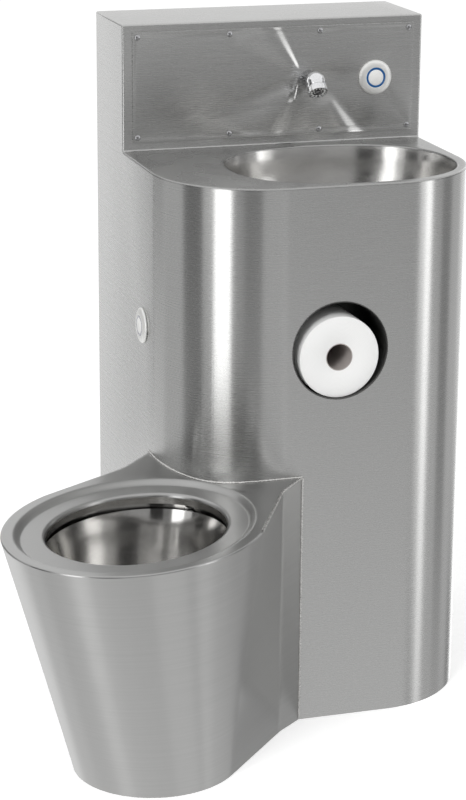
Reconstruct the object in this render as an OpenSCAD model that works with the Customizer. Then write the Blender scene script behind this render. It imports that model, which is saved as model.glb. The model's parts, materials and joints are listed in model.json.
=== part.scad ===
// Toilet and basin combination unit, folded and welded from stainless steel sheet.
// X runs along the wall, +Y points into the wall and +Z is up. The origin lies on
// the floor, in the wall plane, at the middle of the cabinet.

/* [Cabinet] */
// Width of the cabinet along the wall
unit_w = 500; // [485:1:560]
// Depth of the cabinet from the wall to its front face
unit_d = 500; // [490:1:560]
// Height of the basin counter above the floor
counter_h = 850; // [830:1:900]
// Height of the splash box above the counter
splash_h = 200; // [180:1:300]
// Depth of the splash box from the wall
splash_d = 162; // [150:1:175]
// Outside radius of the cabinet's two front corners
corner_r = 165; // [150:1:172]
// Thickness of the cabinet's sheet
sheet = 1.5; // [1:0.1:2.5]
// Width of the returns folded in along the wall and the floor
return_w = 28; // [22:1:36]
// Diameter of the wall fixing holes
wall_hole_d = 10; // [7:0.5:12]
// Height of the lower wall fixing holes
wall_hole_low = 100; // [80:1:140]
// Height of the upper wall fixing holes
wall_hole_high = 780; // [720:1:800]
// Diameter of the floor fixing holes
floor_hole_d = 9; // [7:0.5:12]
// Distance of the rear floor fixing holes from the wall
floor_hole_rear = 60; // [40:1:90]
// Distance of the front floor fixing holes from the wall
floor_hole_front = 280; // [240:1:300]
// Height of the rails that tie the cabinet's back
rail_h = 60; // [40:1:80]
// Height of the upper rail's lower edge
rail_up = 690; // [680:1:760]

/* [Basin] */
// Width of the basin opening
basin_w = 359; // [320:1:362]
// Width of the counter left in front of the basin opening
basin_front_rim = 15; // [13:0.5:30]
// Width of the counter left behind the basin opening
basin_rear_rim = 26; // [12:0.5:30]
// Distance of the basin's middle to the right of the cabinet's middle
basin_x = 51; // [35:1:54]
// Depth of the bowl below the counter
basin_deep = 142; // [120:1:150]
// Squareness of the basin's outline, where 2 is an ellipse
basin_square = 2.3; // [2:0.1:2.6]
// Thickness of the pressed bowls
bowl_sheet = 1.2; // [0.8:0.1:2]
// Width of the lip that the bowl is welded by
bowl_lip = 8; // [5:1:9]
// Radius of the waste hole in the bowl
waste_hole_r = 26; // [24:1:28]
// Radius of the waste tail
waste_tail_r = 20; // [18:0.5:22]
// Radius of the bottle trap
trap_bottle_r = 30; // [26:1:34]
// Drop of the trap outlet below the counter
waste_drop = 350; // [340:1:380]

/* [Splash box] */
// Width of the access panel
panel_w = 468; // [460:1:474]
// Thickness of the access panel
panel_t = 2; // [1:0.1:3]
// Height of the access panel's lower edge above the counter
panel_up = 14; // [10:1:16]
// Distance of the access panel's upper edge below the splash box's top
panel_down = 12; // [8:1:16]
// Width of the frame that the panel overlaps
panel_lap = 20; // [18:1:24]
// Thickness of the gasket behind the panel
gasket_t = 1; // [0.5:0.1:2]
// Distance of the end screws from the panel's sides
screw_side = 7.5; // [7:0.5:10]
// Distance of the screws from the panel's upper and lower edges
screw_in = 8; // [7:0.5:10]
// Diameter of the panel screws
screw_d = 5; // [4:0.5:5.5]
// Diameter of the screws' button heads
screw_head_d = 9.5; // [8:0.5:11]
// Height of the screws' button heads
screw_head_h = 2.7; // [2:0.1:3.5]

/* [Spout] */
// Distance of the spout to the right of the cabinet's middle
spout_x = 56; // [40:1:70]
// Height of the spout above the counter
spout_up = 105; // [96:1:110]
// Diameter of the spout's tube
spout_d = 27; // [22:0.5:28]
// Reach of the tube from the panel to the ball elbow's middle
spout_reach = 35; // [28:1:45]
// Angle of the nozzle forward of straight down
nozzle_tilt = 42; // [20:1:60]
// Diameter of the ball elbow
elbow_d = 31; // [28:0.5:33]
// Diameter of the nozzle's screwed collar
collar_d = 31; // [29:0.5:33]
// Length of the collar
collar_l = 10; // [7:0.5:12]

/* [Buttons] */
// Distance of the wash button to the right of the cabinet's middle
wash_x = 169.5; // [150:0.5:180]
// Height of the wash button above the counter
wash_up = 101.5; // [92:0.5:110]
// Distance of the flush button from the wall
flush_out = 276; // [240:1:285]
// Height of the flush button above the floor
flush_h = 597; // [560:1:660]
// Diameter of the button's bezel
bezel_d = 56; // [48:1:60]
// Height of the bezel's dome
bezel_h = 6.5; // [6:0.5:10]
// Diameter of the coloured ring
ring_d = 32; // [28:1:36]
// Width of the coloured ring
ring_w = 2.5; // [2:0.1:3]
// Travel of the button's cap
cap_travel = 2.5; // [1:0.1:2.8]
// Diameter of the switch barrel
barrel_d = 22; // [20:0.5:24]
// Length of the switch barrel behind the sheet
barrel_l = 36; // [30:1:45]

/* [Roll niche] */
// Inside diameter of the niche
niche_d = 150; // [140:1:158]
// Distance of the niche to the right of the cabinet's middle
niche_x = -2.5; // [-8:0.5:5]
// Height of the niche's middle above the floor
niche_h = 596.5; // [570:0.5:610]
// Gap between the roll and the niche's back
niche_spare = 8; // [4:1:12]
// Distance that the niche's rim stands proud of the front
niche_proud = 1; // [0.5:0.1:2]
// Diameter of the toilet roll
roll_d = 127; // [90:1:130]
// Width of the toilet roll
roll_w = 98; // [90:1:100]
// Outside diameter of the roll's card core
core_d = 42; // [36:1:45]
// Thickness of the card core
core_t = 1; // [0.8:0.1:1.5]
// Distance of the roll's face behind the front face
roll_in = 4; // [0:0.5:8]

/* [Pan] */
// Height of the pan's deck above the floor
pan_h = 400; // [390:1:420]
// Angle of the pan's axis to the left of straight out
pan_turn = 42.3; // [41:0.1:44]
// Depth of the pan's root behind the rounded corner
pan_root_in = 65; // [60:1:70]
// Width across the pan's straight side walls
pan_neck_w = 268; // [260:1:276]
// Thickness of the pan's sheet
pan_sheet = 2; // [1.5:0.1:2.5]
// Distance from the root to the middle of the rim's round front
rim_mid = 300; // [290:1:310]
// Half length of the rim's round front
rim_a = 227; // [215:1:235]
// Half width of the rim's round front
rim_b = 183.5; // [178:0.5:190]
// Distance from the root to the folds at the deck
fold_top = 79; // [70:1:90]
// Distance from the root to the folds at the floor
fold_foot = 60; // [50:1:70]
// Width across the folds at the floor
foot_w = 252; // [244:1:258]
// Distance from the root to the middle of the foot's round nose
nose_mid = 235; // [225:1:245]
// Half length of the foot's round nose
nose_a = 133; // [120:1:140]
// Distance from the root to the creases at the deck
crease_top = 249; // [240:1:260]
// Distance from the root to the creases at the floor
crease_foot = 238; // [230:1:250]
// Depth of the seat recess pressed into the deck
recess_deep = 8; // [5:0.5:10]
// Half length of the seat recess
recess_a = 205; // [198:1:208]
// Half width of the seat recess
recess_b = 160; // [152:1:163]
// Half length of the bowl's opening
bowl_a = 158; // [148:1:162]
// Half width of the bowl's opening
bowl_b = 124; // [115:1:127]
// Distance of the bowl's middle behind the middle of the rim's round front
bowl_back = 4; // [0:0.5:8]
// Height of the lip that hangs below the opening
lip_h = 14; // [12:1:20]
// Width of the water channel behind the lip
channel_w = 22; // [18:1:24]
// Height of the bowl's outlet above the floor
outlet_h = 150; // [146:1:158]
// Outside radius of the soil pipe
soil_r = 51; // [49:0.5:52]
// Wall of the soil pipe
soil_t = 2; // [1.5:0.1:3]
// Height of the soil outlet's middle at the wall
soil_h = 205; // [200:1:212]

/* [Water] */
// Height of the water supplies above the counter
supply_up = 105; // [96:1:110]
// Outside radius of the flush pipe
flush_pipe_r = 11; // [10:0.5:12]
// Wall of the flush pipe
flush_pipe_t = 1; // [0.8:0.1:1.5]
// Length of the solenoid valves' bodies
valve_l = 44; // [40:1:48]
// Width of the solenoid valves' bodies
valve_w = 36; // [34:1:40]
// Lift of the solenoids' plungers
plunger_lift = 3; // [2:0.1:4]
// Length of the stop valves' bodies
stop_l = 36; // [34:1:40]
// Length of the stop valves' levers
lever_l = 40; // [30:1:44]
// Depth of the supplies' threaded sockets
socket_deep = 15; // [12:1:16]
// Radius of the wash supply's threaded socket
wash_socket_r = 9.5; // [9:0.1:10]
// Radius of the flush supply's threaded socket
flush_socket_r = 12; // [11.5:0.1:12.4]

/* [Hidden] */

$fn = 96;
steel = [0.72, 0.72, 0.71];
satin = [0.66, 0.66, 0.65];
polished = [0.82, 0.82, 0.81];
chrome = [0.88, 0.88, 0.89];
brass = [0.78, 0.65, 0.36];
black = [0.12, 0.12, 0.13];
grey = [0.45, 0.46, 0.48];
white = [0.95, 0.95, 0.94];
card = [0.66, 0.56, 0.44];
blue = [0.05, 0.25, 0.45];

// Fits: a turning or sliding shaft in its bore, and a piece that lies free
fit = 0.05;
free = 0.3;
eps = 1;                    // overshoot of cutters past the faces they cut

total_h = counter_h + splash_h;
panel_h = splash_h - panel_up - panel_down;
screw_pitch = (panel_w - 2 * screw_side) / 3;
basin_d = unit_d - splash_d - basin_front_rim - basin_rear_rim;
basin_out = splash_d + basin_rear_rim + basin_d / 2;
niche_deep = roll_in + roll_w + niche_spare;
half_w = unit_w / 2;
in_w = half_w - sheet;
splash_in = splash_d - sheet;
top_z = total_h - sheet;
deck_z = counter_h - sheet;
corner = [-half_w + corner_r, -unit_d + corner_r];
arc_steps = 24;

// Outline helpers
function superellipse(a, b, n, k) = [
    for (i = [0 : k - 1]) let (c = cos(360 * i / k), s = sin(360 * i / k))
        [a * sign(c) * pow(abs(c), 2 / n), b * sign(s) * pow(abs(s), 2 / n)]];

// Points round an arc that lie just outside it, so that its chords touch it
function arc_outside(c, r, from, to) = let (step = (to - from) / arc_steps) concat(
    [c + r * [cos(from), sin(from)]],
    [for (i = [0 : arc_steps - 1]) let (a = from + (i + 0.5) * step)
        c + r / cos(step / 2) * [cos(a), sin(a)]],
    [c + r * [cos(to), sin(to)]]);

// Solid whose section runs through rings of equal point counts, closed on itself
module ring_solid(rings) {
    k = len(rings[0]);
    m = len(rings);
    points = [for (ring = rings) each ring];
    faces = [for (j = [0 : m - 1], i = [0 : k - 1])
        let (a = j * k + i, b = j * k + (i + 1) % k,
             c = ((j + 1) % m) * k + (i + 1) % k, d = ((j + 1) % m) * k + i)
        each [[a, d, c], [a, c, b]]];
    polyhedron(points, faces);
}

// Pressed bowl: rows are [half length, half width, squareness, shift along x, z]
module bowl(rows, t, lip, k) {
    last = len(rows) - 1;
    function ring(row, out, drop) = [for (p = superellipse(row[0] + out, row[1] + out, row[2], k))
        [p[0] + row[3], p[1], row[4] - drop]];
    inner = [for (row = rows) ring(row, 0, 0)];
    outer = [for (i = [last : -1 : 0]) ring(rows[i], i == last ? 0 : t, t)];
    edge = [ring(rows[0], lip, t), ring(rows[0], lip, 0)];
    ring_solid(concat(inner, outer, edge));
}

module quarter_ring(r_out, r_in, h, from) {
    rotate([0, 0, from]) rotate_extrude(angle = 90) translate([r_in, 0]) square([r_out - r_in, h]);
}

module tube(r, t, l) {
    difference() {
        cylinder(r = r, h = l);
        translate([0, 0, -eps]) cylinder(r = r - t, h = l + 2 * eps);
    }
}

module pipe_bend(r, t, bend_r, turn) {
    difference() {
        rotate_extrude(angle = turn) translate([bend_r, 0]) circle(r = r);
        rotate_extrude(angle = turn) translate([bend_r, 0]) circle(r = r - t);
    }
}

// Lays a cylinder built along +Z along -Y, and along -X
module facing_front() { rotate([90, 0, 0]) children(); }
module facing_left() { rotate([0, -90, 0]) children(); }

// Pan frame: +X runs out along the pan's axis, +Y to the pan's right side
pan_root = corner - (corner_r - pan_root_in) / sqrt(2) * [1, 1];
pan_dir = [-sin(pan_turn), -cos(pan_turn)];
pan_side = [cos(pan_turn), -sin(pan_turn)];
neck_b = pan_neck_w / 2;
foot_b = foot_w / 2;
front_steps = 32;
module in_pan() {
    translate([pan_root[0], pan_root[1], 0]) rotate([0, 0, -90 - pan_turn]) children();
}
function to_world(p) = pan_root + p[0] * pan_dir + p[1] * pan_side;
// Where a line at side distance w meets the cabinet's left flank and its front
function meets_flank(w) = (pan_root[0] + half_w + cos(pan_turn) * w) / sin(pan_turn);
function meets_front(w) = (pan_root[1] + unit_d - sin(pan_turn) * w) / cos(pan_turn);
crease_turn_top = acos((crease_top - rim_mid) / rim_a);
crease_turn_foot = acos((crease_foot - nose_mid) / nose_a);
// Outline from the left flank round the front to the cabinet's front face
function pan_line(inset, fold, fold_b, mid, a, b, turn) = concat(
    [[meets_flank(inset - neck_b), inset - neck_b], [fold, inset - fold_b]],
    [for (i = [0 : front_steps]) let (t = -turn + 2 * turn * i / front_steps)
        [mid + (a - inset) * cos(t), (b - inset) * sin(t)]],
    [[fold, fold_b - inset], [meets_front(neck_b - inset), neck_b - inset]]);
function top_line(inset) =
    pan_line(inset, fold_top, neck_b, rim_mid, rim_a, rim_b, crease_turn_top);
function foot_line(inset) =
    pan_line(inset, fold_foot, foot_b, nose_mid, nose_a, foot_b - 1, crease_turn_foot);

// Pipes turn from the pan's axis to face the wall here, seen from the pan's root
pipe_corner = 5 - pan_root_in;
pipe_x = to_world([pipe_corner, 0])[0];
function bend_start(bend_r) = pipe_corner + bend_r * tan(pan_turn / 2);
function bend_end(bend_r) =
    to_world([bend_start(bend_r) - bend_r * sin(pan_turn), bend_r * (cos(pan_turn) - 1)]);

seat_z = pan_h - recess_deep;
under_seat = seat_z - pan_sheet;
lip_z = under_seat - lip_h;
channel_h = 2 * (flush_pipe_r + 1);     // takes the flush pipe, with 1 mm above and below
channel_z = under_seat - channel_h;
bowl_k = 48;
bowl_mid = rim_mid - bowl_back;
outlet_r = soil_r - soil_t;
outlet_back = 15;           // how far the outlet lies behind the bowl's middle
outlet_x = bowl_mid - outlet_back;
// Pan bowl below its channel: [share of its depth, share of its narrowing, of its shift]
pan_shares = [
    [0, -0.05, 0], [0.09, 0, 0], [0.3, 0.1, 0], [0.53, 0.3, 0.25],
    [0.74, 0.565, 0.25], [0.9, 0.89, 1], [1, 1, 1]
];
pan_rows = concat(
    [for (z = [under_seat, channel_z])
        [bowl_a + channel_w, bowl_b + channel_w, 2, bowl_mid, z]],
    [for (share = pan_shares)
        [bowl_a - share[1] * (bowl_a - outlet_r), bowl_b - share[1] * (bowl_b - outlet_r), 2,
         bowl_mid - share[2] * outlet_back, channel_z - share[0] * (channel_z - outlet_h)]]);
flush_pipe_z = under_seat - channel_h / 2;

// Cabinet
module floor_holes() {
    for (side = [-1, 1], out = [floor_hole_rear, floor_hole_front])
        translate([side * (in_w - return_w / 2), -out, -eps])
            cylinder(d = floor_hole_d, h = sheet + 2 * eps);
}

module wall_holes() {
    for (side = [-1, 1], up = [wall_hole_low, wall_hole_high])
        translate([side * (in_w - return_w / 2), eps, up])
            facing_front() cylinder(d = wall_hole_d, h = sheet + 2 * eps);
}

module flank(side) {
    x = side < 0 ? -half_w : in_w;
    back = side < 0 ? -in_w : in_w - return_w;
    translate([x, corner[1], 0]) cube([sheet, -corner[1], deck_z]);
    translate([x, -splash_in, deck_z]) cube([sheet, splash_in, top_z - deck_z]);
    translate([back, -sheet, 0]) cube([return_w, sheet, top_z]);
    translate([back, corner[1], 0]) cube([return_w, -corner[1] - sheet, sheet]);
}

module body_wrap() color(steel) difference() {
    union() {
        for (side = [-1, 1]) flank(side);
        translate([corner[0], -unit_d, 0]) cube([-2 * corner[0], sheet, deck_z]);
        translate(corner) quarter_ring(corner_r, corner_r - sheet, deck_z, 180);
        translate([-corner[0], corner[1], 0])
            quarter_ring(corner_r, corner_r - sheet, deck_z, 270);
    }
    floor_holes();
    wall_holes();
    translate([niche_x, -unit_d + sheet + eps, niche_h])
        facing_front() cylinder(r = niche_d / 2 + sheet, h = sheet + 2 * eps);
    translate([-in_w + eps, -flush_out, flush_h])
        facing_left() cylinder(d = barrel_d + 2 * fit, h = sheet + 2 * eps);
    // Ways through the corner for the soil pipe and the flush pipe
    in_pan() {
        translate([0, 0, soil_h]) rotate([0, 90, 0]) cylinder(r = soil_r + 6, h = fold_top);
        translate([0, 0, flush_pipe_z]) rotate([0, 90, 0])
            cylinder(r = flush_pipe_r + 3, h = fold_top);
    }
}

module splash_box() color(steel) {
    translate([-half_w, -splash_d, top_z]) cube([unit_w, splash_d, sheet]);
    difference() {
        translate([-half_w, -splash_d, counter_h]) cube([unit_w, sheet, top_z - counter_h]);
        translate([-panel_w / 2 + panel_lap, -splash_d - eps, panel_z + panel_lap])
            cube([panel_w - 2 * panel_lap, sheet + 2 * eps, panel_h - 2 * panel_lap]);
        panel_points() translate([0, 0, -sheet - eps])
            cylinder(r = insert_r, h = sheet + 2 * eps);
    }
}

module counter_top() color(satin) difference() {
    union() {
        translate([-half_w, corner[1], deck_z]) cube([unit_w, -corner[1] - splash_in, sheet]);
        translate([-in_w, -splash_in, deck_z]) cube([2 * in_w, splash_in - sheet, sheet]);
        translate([corner[0], -unit_d, deck_z]) cube([-2 * corner[0], corner_r, sheet]);
        translate([corner[0], corner[1], deck_z]) quarter_ring(corner_r, 0, sheet, 180);
        translate([-corner[0], corner[1], deck_z]) quarter_ring(corner_r, 0, sheet, 270);
    }
    translate([basin_x, -basin_out, deck_z - eps]) linear_extrude(sheet + 2 * eps)
        polygon(superellipse(basin_w / 2, basin_d / 2, basin_square, 64));
    translate([pipe_x, -riser_out, deck_z - eps])
        cylinder(r = flush_pipe_r + 3, h = sheet + 2 * eps);
}

module rear_plate() color(satin) difference() {
    translate([return_w - in_w, -sheet, deck_z])
        cube([2 * (in_w - return_w), sheet, top_z - deck_z]);
    for (line = lines) translate([line[0], eps, supply_z])
        facing_front() cylinder(r = inlet_r(line[2]) + fit, h = sheet + 2 * eps);
}

module tie_rails() color(satin) for (up = [0, rail_up])
    translate([return_w - in_w, -sheet, up]) cube([2 * (in_w - return_w), sheet, rail_h]);

// Basin and its waste
basin_floor = deck_z - basin_deep + sheet;
basin_a = basin_w / 2;
basin_b = basin_d / 2;
waste_seat_r = waste_hole_r + 8;
// Basin: [share of its depth, share of its narrowing]
basin_shares = [
    [0, 0], [0.085, 0.022], [0.34, 0.07], [0.62, 0.17], [0.84, 0.355], [0.94, 0.64], [1, 1]
];
basin_rows = concat(
    [for (share = basin_shares)
        [basin_a - share[1] * (basin_a - waste_seat_r), basin_b - share[1] * (basin_b - waste_seat_r),
         basin_square - share[1] * (basin_square - 2), 0,
         deck_z - share[0] * (deck_z - basin_floor)]],
    [[waste_hole_r, waste_hole_r, 2, 0, basin_floor]]);

module at_basin(z) { translate([basin_x, -basin_out, z]) children(); }

module basin_bowl() color(polished) at_basin(0) bowl(basin_rows, bowl_sheet, bowl_lip, bowl_k);

trap_outlet_z = counter_h - waste_drop;
trap_top = trap_outlet_z + 34;
trap_joint = trap_outlet_z - 30;
tail_end = trap_joint - 20;
nut_h = 12;
// The waste pipe ends in a spigot of a smaller radius, which the trap's socket takes
spigot_in = 1;
spigot_r = waste_tail_r - spigot_in;
socket_l = 10;
spigot_gap = 3;             // from the socket's rim to the pipe's full radius
trap_reach = trap_bottle_r + 2;

module basin_waste() color(chrome) at_basin(0) {
    flange_r = waste_seat_r - 1;
    difference() {
        union() {
            translate([0, 0, basin_floor]) cylinder(r = flange_r, h = 2);
            translate([0, 0, basin_floor - 30]) cylinder(r = waste_hole_r - 1, h = 30);
            translate([0, 0, tail_end]) cylinder(r = waste_tail_r, h = basin_floor - 30 - tail_end);
        }
        translate([0, 0, tail_end - eps]) cylinder(r = waste_tail_r - 2, h = basin_floor - tail_end);
        for (i = [0 : 7]) rotate([0, 0, 45 * i]) translate([13, 0, basin_floor - 2 * eps])
            cylinder(r = 3, h = 3 + 2 * eps);
        translate([0, 0, basin_floor - 2 * eps]) cylinder(r = 3, h = 3 + 2 * eps);
    }
}

module waste_nuts() color(grey) at_basin(0) {
    translate([0, 0, basin_floor - bowl_sheet - nut_h / 2]) difference() {
        cylinder(r = waste_hole_r + 9, h = nut_h / 2, $fn = 6);
        translate([0, 0, -eps]) cylinder(r = waste_hole_r - 1 + fit, h = nut_h);
    }
    translate([0, 0, trap_top]) difference() {
        cylinder(r = waste_tail_r + 7, h = nut_h, $fn = 8);
        translate([0, 0, -eps]) cylinder(r = waste_tail_r + fit, h = nut_h + 2 * eps);
    }
}

module bottle_trap() color(chrome) at_basin(0) difference() {
    union() {
        translate([0, 0, trap_joint]) cylinder(r = trap_bottle_r, h = trap_top - trap_joint);
        translate([0, 0, trap_outlet_z]) rotate([-90, 0, 0])
            cylinder(r = waste_tail_r + 3, h = trap_reach + socket_l);
    }
    translate([0, 0, trap_joint - eps])
        cylinder(r = trap_bottle_r - 3, h = trap_top - trap_joint - 3 + eps);
    translate([0, 0, trap_joint]) cylinder(r = waste_tail_r + fit, h = trap_top);
    translate([0, 0, trap_outlet_z]) rotate([-90, 0, 0])
        cylinder(r = spigot_r - 1, h = trap_reach + eps);
    translate([0, trap_reach, trap_outlet_z]) rotate([-90, 0, 0])
        cylinder(r = spigot_r + fit, h = socket_l + eps);
}

module trap_cup() color(chrome) at_basin(trap_joint) difference() {
    union() {
        translate([0, 0, -52]) cylinder(r = trap_bottle_r, h = 42);
        translate([0, 0, -12]) cylinder(r = trap_bottle_r + 4, h = 12);
        translate([0, 0, -60]) cylinder(r1 = trap_bottle_r - 8, r2 = trap_bottle_r, h = 8);
    }
    translate([0, 0, -50]) cylinder(r = trap_bottle_r - 3, h = 50 + eps);
}

module basin_waste_pipe() color(chrome)
    translate([basin_x, 0, trap_outlet_z]) facing_front() {
        end = basin_out - trap_reach;
        wide = end - socket_l - spigot_gap;
        tube(waste_tail_r, 1.5, wide);
        translate([0, 0, wide - 2]) tube(spigot_r, 1.5, end - wide + 2);
    }

// Access panel
panel_z = counter_h + panel_up;
panel_back = splash_d + gasket_t;
panel_face = panel_back + panel_t;
insert_r = screw_d / 2 + 1;

// Puts children at each screw, with the outer side of the splash box at z 0
module panel_points() {
    for (i = [-1.5 : 1 : 1.5], up = [screw_in, panel_h - screw_in])
        translate([i * screw_pitch, -splash_d, panel_z + up]) facing_front() children();
}

module access_panel() color(satin) difference() {
    translate([-panel_w / 2, -panel_face, panel_z]) cube([panel_w, panel_t, panel_h]);
    panel_points() cylinder(d = screw_d + 0.5, h = gasket_t + panel_t + eps);
    translate([spout_x, -panel_back + eps, spout_z]) facing_front()
        cylinder(r = tail_r + fit, h = panel_t + 2 * eps);
    translate([wash_x, -panel_back + eps, wash_z]) facing_front()
        cylinder(d = barrel_d + 2 * fit, h = panel_t + 2 * eps);
}

module panel_gasket() color(black) difference() {
    edge = 2;
    translate([edge - panel_w / 2, -panel_back, panel_z + edge])
        cube([panel_w - 2 * edge, gasket_t, panel_h - 2 * edge]);
    translate([-panel_w / 2 + panel_lap, -panel_back - eps, panel_z + panel_lap])
        cube([panel_w - 2 * panel_lap, gasket_t + 2 * eps, panel_h - 2 * panel_lap]);
    panel_points() translate([0, 0, -eps]) cylinder(d = screw_d + 1, h = gasket_t + 2 * eps);
}

module panel_screws() color(chrome) panel_points() {
    top = gasket_t + panel_t;
    translate([0, 0, -10]) cylinder(d = screw_d, h = top + 10);
    translate([0, 0, top]) difference() {
        cylinder(d1 = screw_head_d, d2 = screw_head_d - 3, h = screw_head_h);
        translate([0, 0, 1]) cylinder(r = 1.7, h = screw_head_h, $fn = 6);
    }
}

module panel_inserts() color(steel) panel_points() difference() {
    union() {
        translate([0, 0, -12]) cylinder(r = insert_r, h = 12);
        translate([0, 0, -sheet - 2]) cylinder(r = insert_r + 1.5, h = 2);
    }
    translate([0, 0, -12 - eps]) cylinder(r = screw_d / 2 + fit, h = 12 + 2 * eps);
}

// Spout
spout_z = counter_h + spout_up;
tail_r = 10.4;
bore_r = 7;
gap_l = 0.8;
nozzle_in = 4.5;            // how far the ball is cut back at its seam
nozzle_l = elbow_d / 2 - nozzle_in;

module at_spout() { translate([spout_x, -panel_face, spout_z]) facing_front() children(); }
module at_nozzle() {
    at_spout() translate([0, 0, spout_reach]) rotate([90 - nozzle_tilt, 0, 0]) children();
}

module spout_body() color(chrome) difference() {
    union() {
        at_spout() cylinder(d = spout_d, h = spout_reach);
        at_spout() translate([0, 0, -tail_l]) cylinder(r = tail_r, h = tail_l);
        difference() {
            at_spout() translate([0, 0, spout_reach]) sphere(d = elbow_d);
            at_nozzle() translate([0, 0, nozzle_l]) cylinder(d = elbow_d, h = elbow_d);
        }
        at_nozzle() cylinder(d = elbow_d - 1.5, h = nozzle_l);
        at_nozzle() translate([0, 0, nozzle_l]) cylinder(d = elbow_d - 4, h = gap_l);
    }
    at_spout() translate([0, 0, -tail_l - eps]) cylinder(r = bore_r, h = tail_l + spout_reach);
    at_nozzle() cylinder(r = bore_r, h = nozzle_l + gap_l + eps);
}

module spout_aerator() color(chrome) at_nozzle() translate([0, 0, nozzle_l + gap_l]) difference() {
    union() {
        difference() {
            cylinder(d = collar_d, h = collar_l);
            translate([0, 0, -eps]) cylinder(d = collar_d - 5, h = collar_l + 2 * eps);
        }
        cylinder(d = collar_d - 5, h = collar_l - 2);
    }
    for (ring_r = [0, 4, 8]) for (i = [0 : max(0, ring_r * 1.5 - 1)])
        rotate([0, 0, ring_r == 0 ? 0 : 360 * i / (ring_r * 1.5)])
            translate([ring_r, 0, -eps]) cylinder(r = 1.1, h = collar_l, $fn = 16);
}

module spout_washer() color(black) at_spout() translate([0, 0, -panel_t - 1.5])
    tube(15, 15 - tail_r - fit, 1.5);

module spout_nut() color(brass) at_spout() translate([0, 0, -panel_t - 9.5]) difference() {
    cylinder(r = 17, h = 8, $fn = 6);
    translate([0, 0, -eps]) cylinder(r = tail_r + fit, h = 8 + 2 * eps);
}

// Push buttons, built with the sheet's outer side at z 0 and +Z outwards
wash_z = counter_h + wash_up;
module at_wash() { translate([wash_x, -panel_face, wash_z]) facing_front() children(); }
module at_flush() { translate([-half_w, -flush_out, flush_h]) facing_left() children(); }

ring_r = ring_d / 2;
cap_r = ring_r - ring_w - free;
cap_low = cap_travel + 1.5;
cap_t = bezel_h - 0.2 - cap_low;
stem_r = 4;
stem_l = 16;
bezel_edge = 2;

module bezel() color(steel) difference() {
    union() {
        cylinder(d = bezel_d, h = bezel_edge);
        translate([0, 0, bezel_edge])
            cylinder(d1 = bezel_d, d2 = bezel_d - 10, h = (bezel_h - bezel_edge) * 0.6);
        translate([0, 0, bezel_edge + (bezel_h - bezel_edge) * 0.6])
            cylinder(d1 = bezel_d - 10, d2 = ring_d + 3, h = (bezel_h - bezel_edge) * 0.4);
    }
    translate([0, 0, -eps]) cylinder(r = ring_r + fit, h = bezel_h + 2 * eps);
}

module button_ring() color(blue) translate([0, 0, 1]) tube(ring_r, ring_w, bezel_h - 1.4);

module button_cap() color(white) {
    translate([0, 0, cap_low]) cylinder(r = cap_r, h = cap_t);
    translate([0, 0, cap_low - stem_l]) cylinder(r = stem_r, h = stem_l);
}

module button_barrel() color(black) difference() {
    union() {
        cylinder(r = ring_r, h = 1);
        translate([0, 0, -barrel_l]) cylinder(d = barrel_d, h = barrel_l);
        translate([0, 0, -barrel_l - 6]) cylinder(d = barrel_d - 6, h = 6);
    }
    translate([0, 0, cap_low - stem_l - cap_travel - 1])
        cylinder(r = stem_r + fit, h = stem_l + cap_travel);
}

module button_seal(wall) color(black) translate([0, 0, -wall - 2])
    tube(barrel_d / 2 + 5, 5 - fit, 2);

module button_nut(wall) color(steel) translate([0, 0, -wall - 7]) difference() {
    cylinder(r = barrel_d / 2 + 6, h = 5, $fn = 6);
    translate([0, 0, -eps]) cylinder(d = barrel_d + 2 * fit, h = 5 + 2 * eps);
}

module wash_bezel() at_wash() bezel();
module wash_ring() at_wash() button_ring();
module wash_cap() at_wash() button_cap();
module wash_barrel() at_wash() button_barrel();
module wash_seal() at_wash() button_seal(panel_t);
module wash_nut() at_wash() button_nut(panel_t);
module flush_bezel() at_flush() bezel();
module flush_ring() at_flush() button_ring();
module flush_cap() at_flush() button_cap();
module flush_barrel() at_flush() button_barrel();
module flush_seal() at_flush() button_seal(sheet);
module flush_nut() at_flush() button_nut(sheet);

// Roll niche
module at_niche(y) { translate([niche_x, y, niche_h]) facing_front() children(); }
niche_end = -unit_d + niche_deep;

module niche_tube() color(steel) at_niche(niche_end)
    tube(niche_d / 2 + sheet, sheet, niche_deep + niche_proud);

module niche_back() color(steel) at_niche(niche_end + sheet)
    cylinder(r = niche_d / 2 + sheet, h = sheet);

roll_z = niche_h - niche_d / 2 + roll_d / 2 + free;
module at_roll() {
    translate([niche_x, -unit_d + roll_in + roll_w, roll_z]) facing_front() children();
}

module roll_paper() color(white) at_roll()
    tube(roll_d / 2, roll_d / 2 - core_d / 2 - fit, roll_w);

module roll_core() color(card) at_roll() tube(core_d / 2, core_t, roll_w);

// Pan
module pan_skirt() color(steel) in_pan() {
    z = pan_h - pan_sheet;
    out_foot = foot_line(0);
    out_top = top_line(0);
    in_top = top_line(pan_sheet);
    in_foot = foot_line(pan_sheet);
    n = len(out_top);
    columns = [for (i = [0 : n - 1]) each [
        [out_foot[i][0], out_foot[i][1], 0], [out_top[i][0], out_top[i][1], z],
        [in_top[i][0], in_top[i][1], z], [in_foot[i][0], in_foot[i][1], 0]]];
    sides = [for (i = [0 : n - 2], j = [0 : 3])
        let (a = 4 * i + j, b = 4 * i + (j + 1) % 4, c = b + 4, d = a + 4)
        each [[a, b, c], [a, c, d]]];
    last = 4 * (n - 1);
    ends = [[0, 3, 2], [0, 2, 1], [last, last + 1, last + 2], [last, last + 2, last + 3]];
    polyhedron(columns, concat(sides, ends));
}

// Plan of the cabinet with its left corner, for cutting the deck to it
module cabinet_plan(z, h) {
    translate([0, 0, z]) linear_extrude(h) polygon(concat(
        [[-half_w, 0]], arc_outside(corner, corner_r, 180, 270), [[half_w, -unit_d], [half_w, 0]]));
}

module pan_oval(mid, a, b, z, h) {
    translate([mid, 0, z]) linear_extrude(h) polygon(superellipse(a, b, 2, 64));
}

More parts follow.
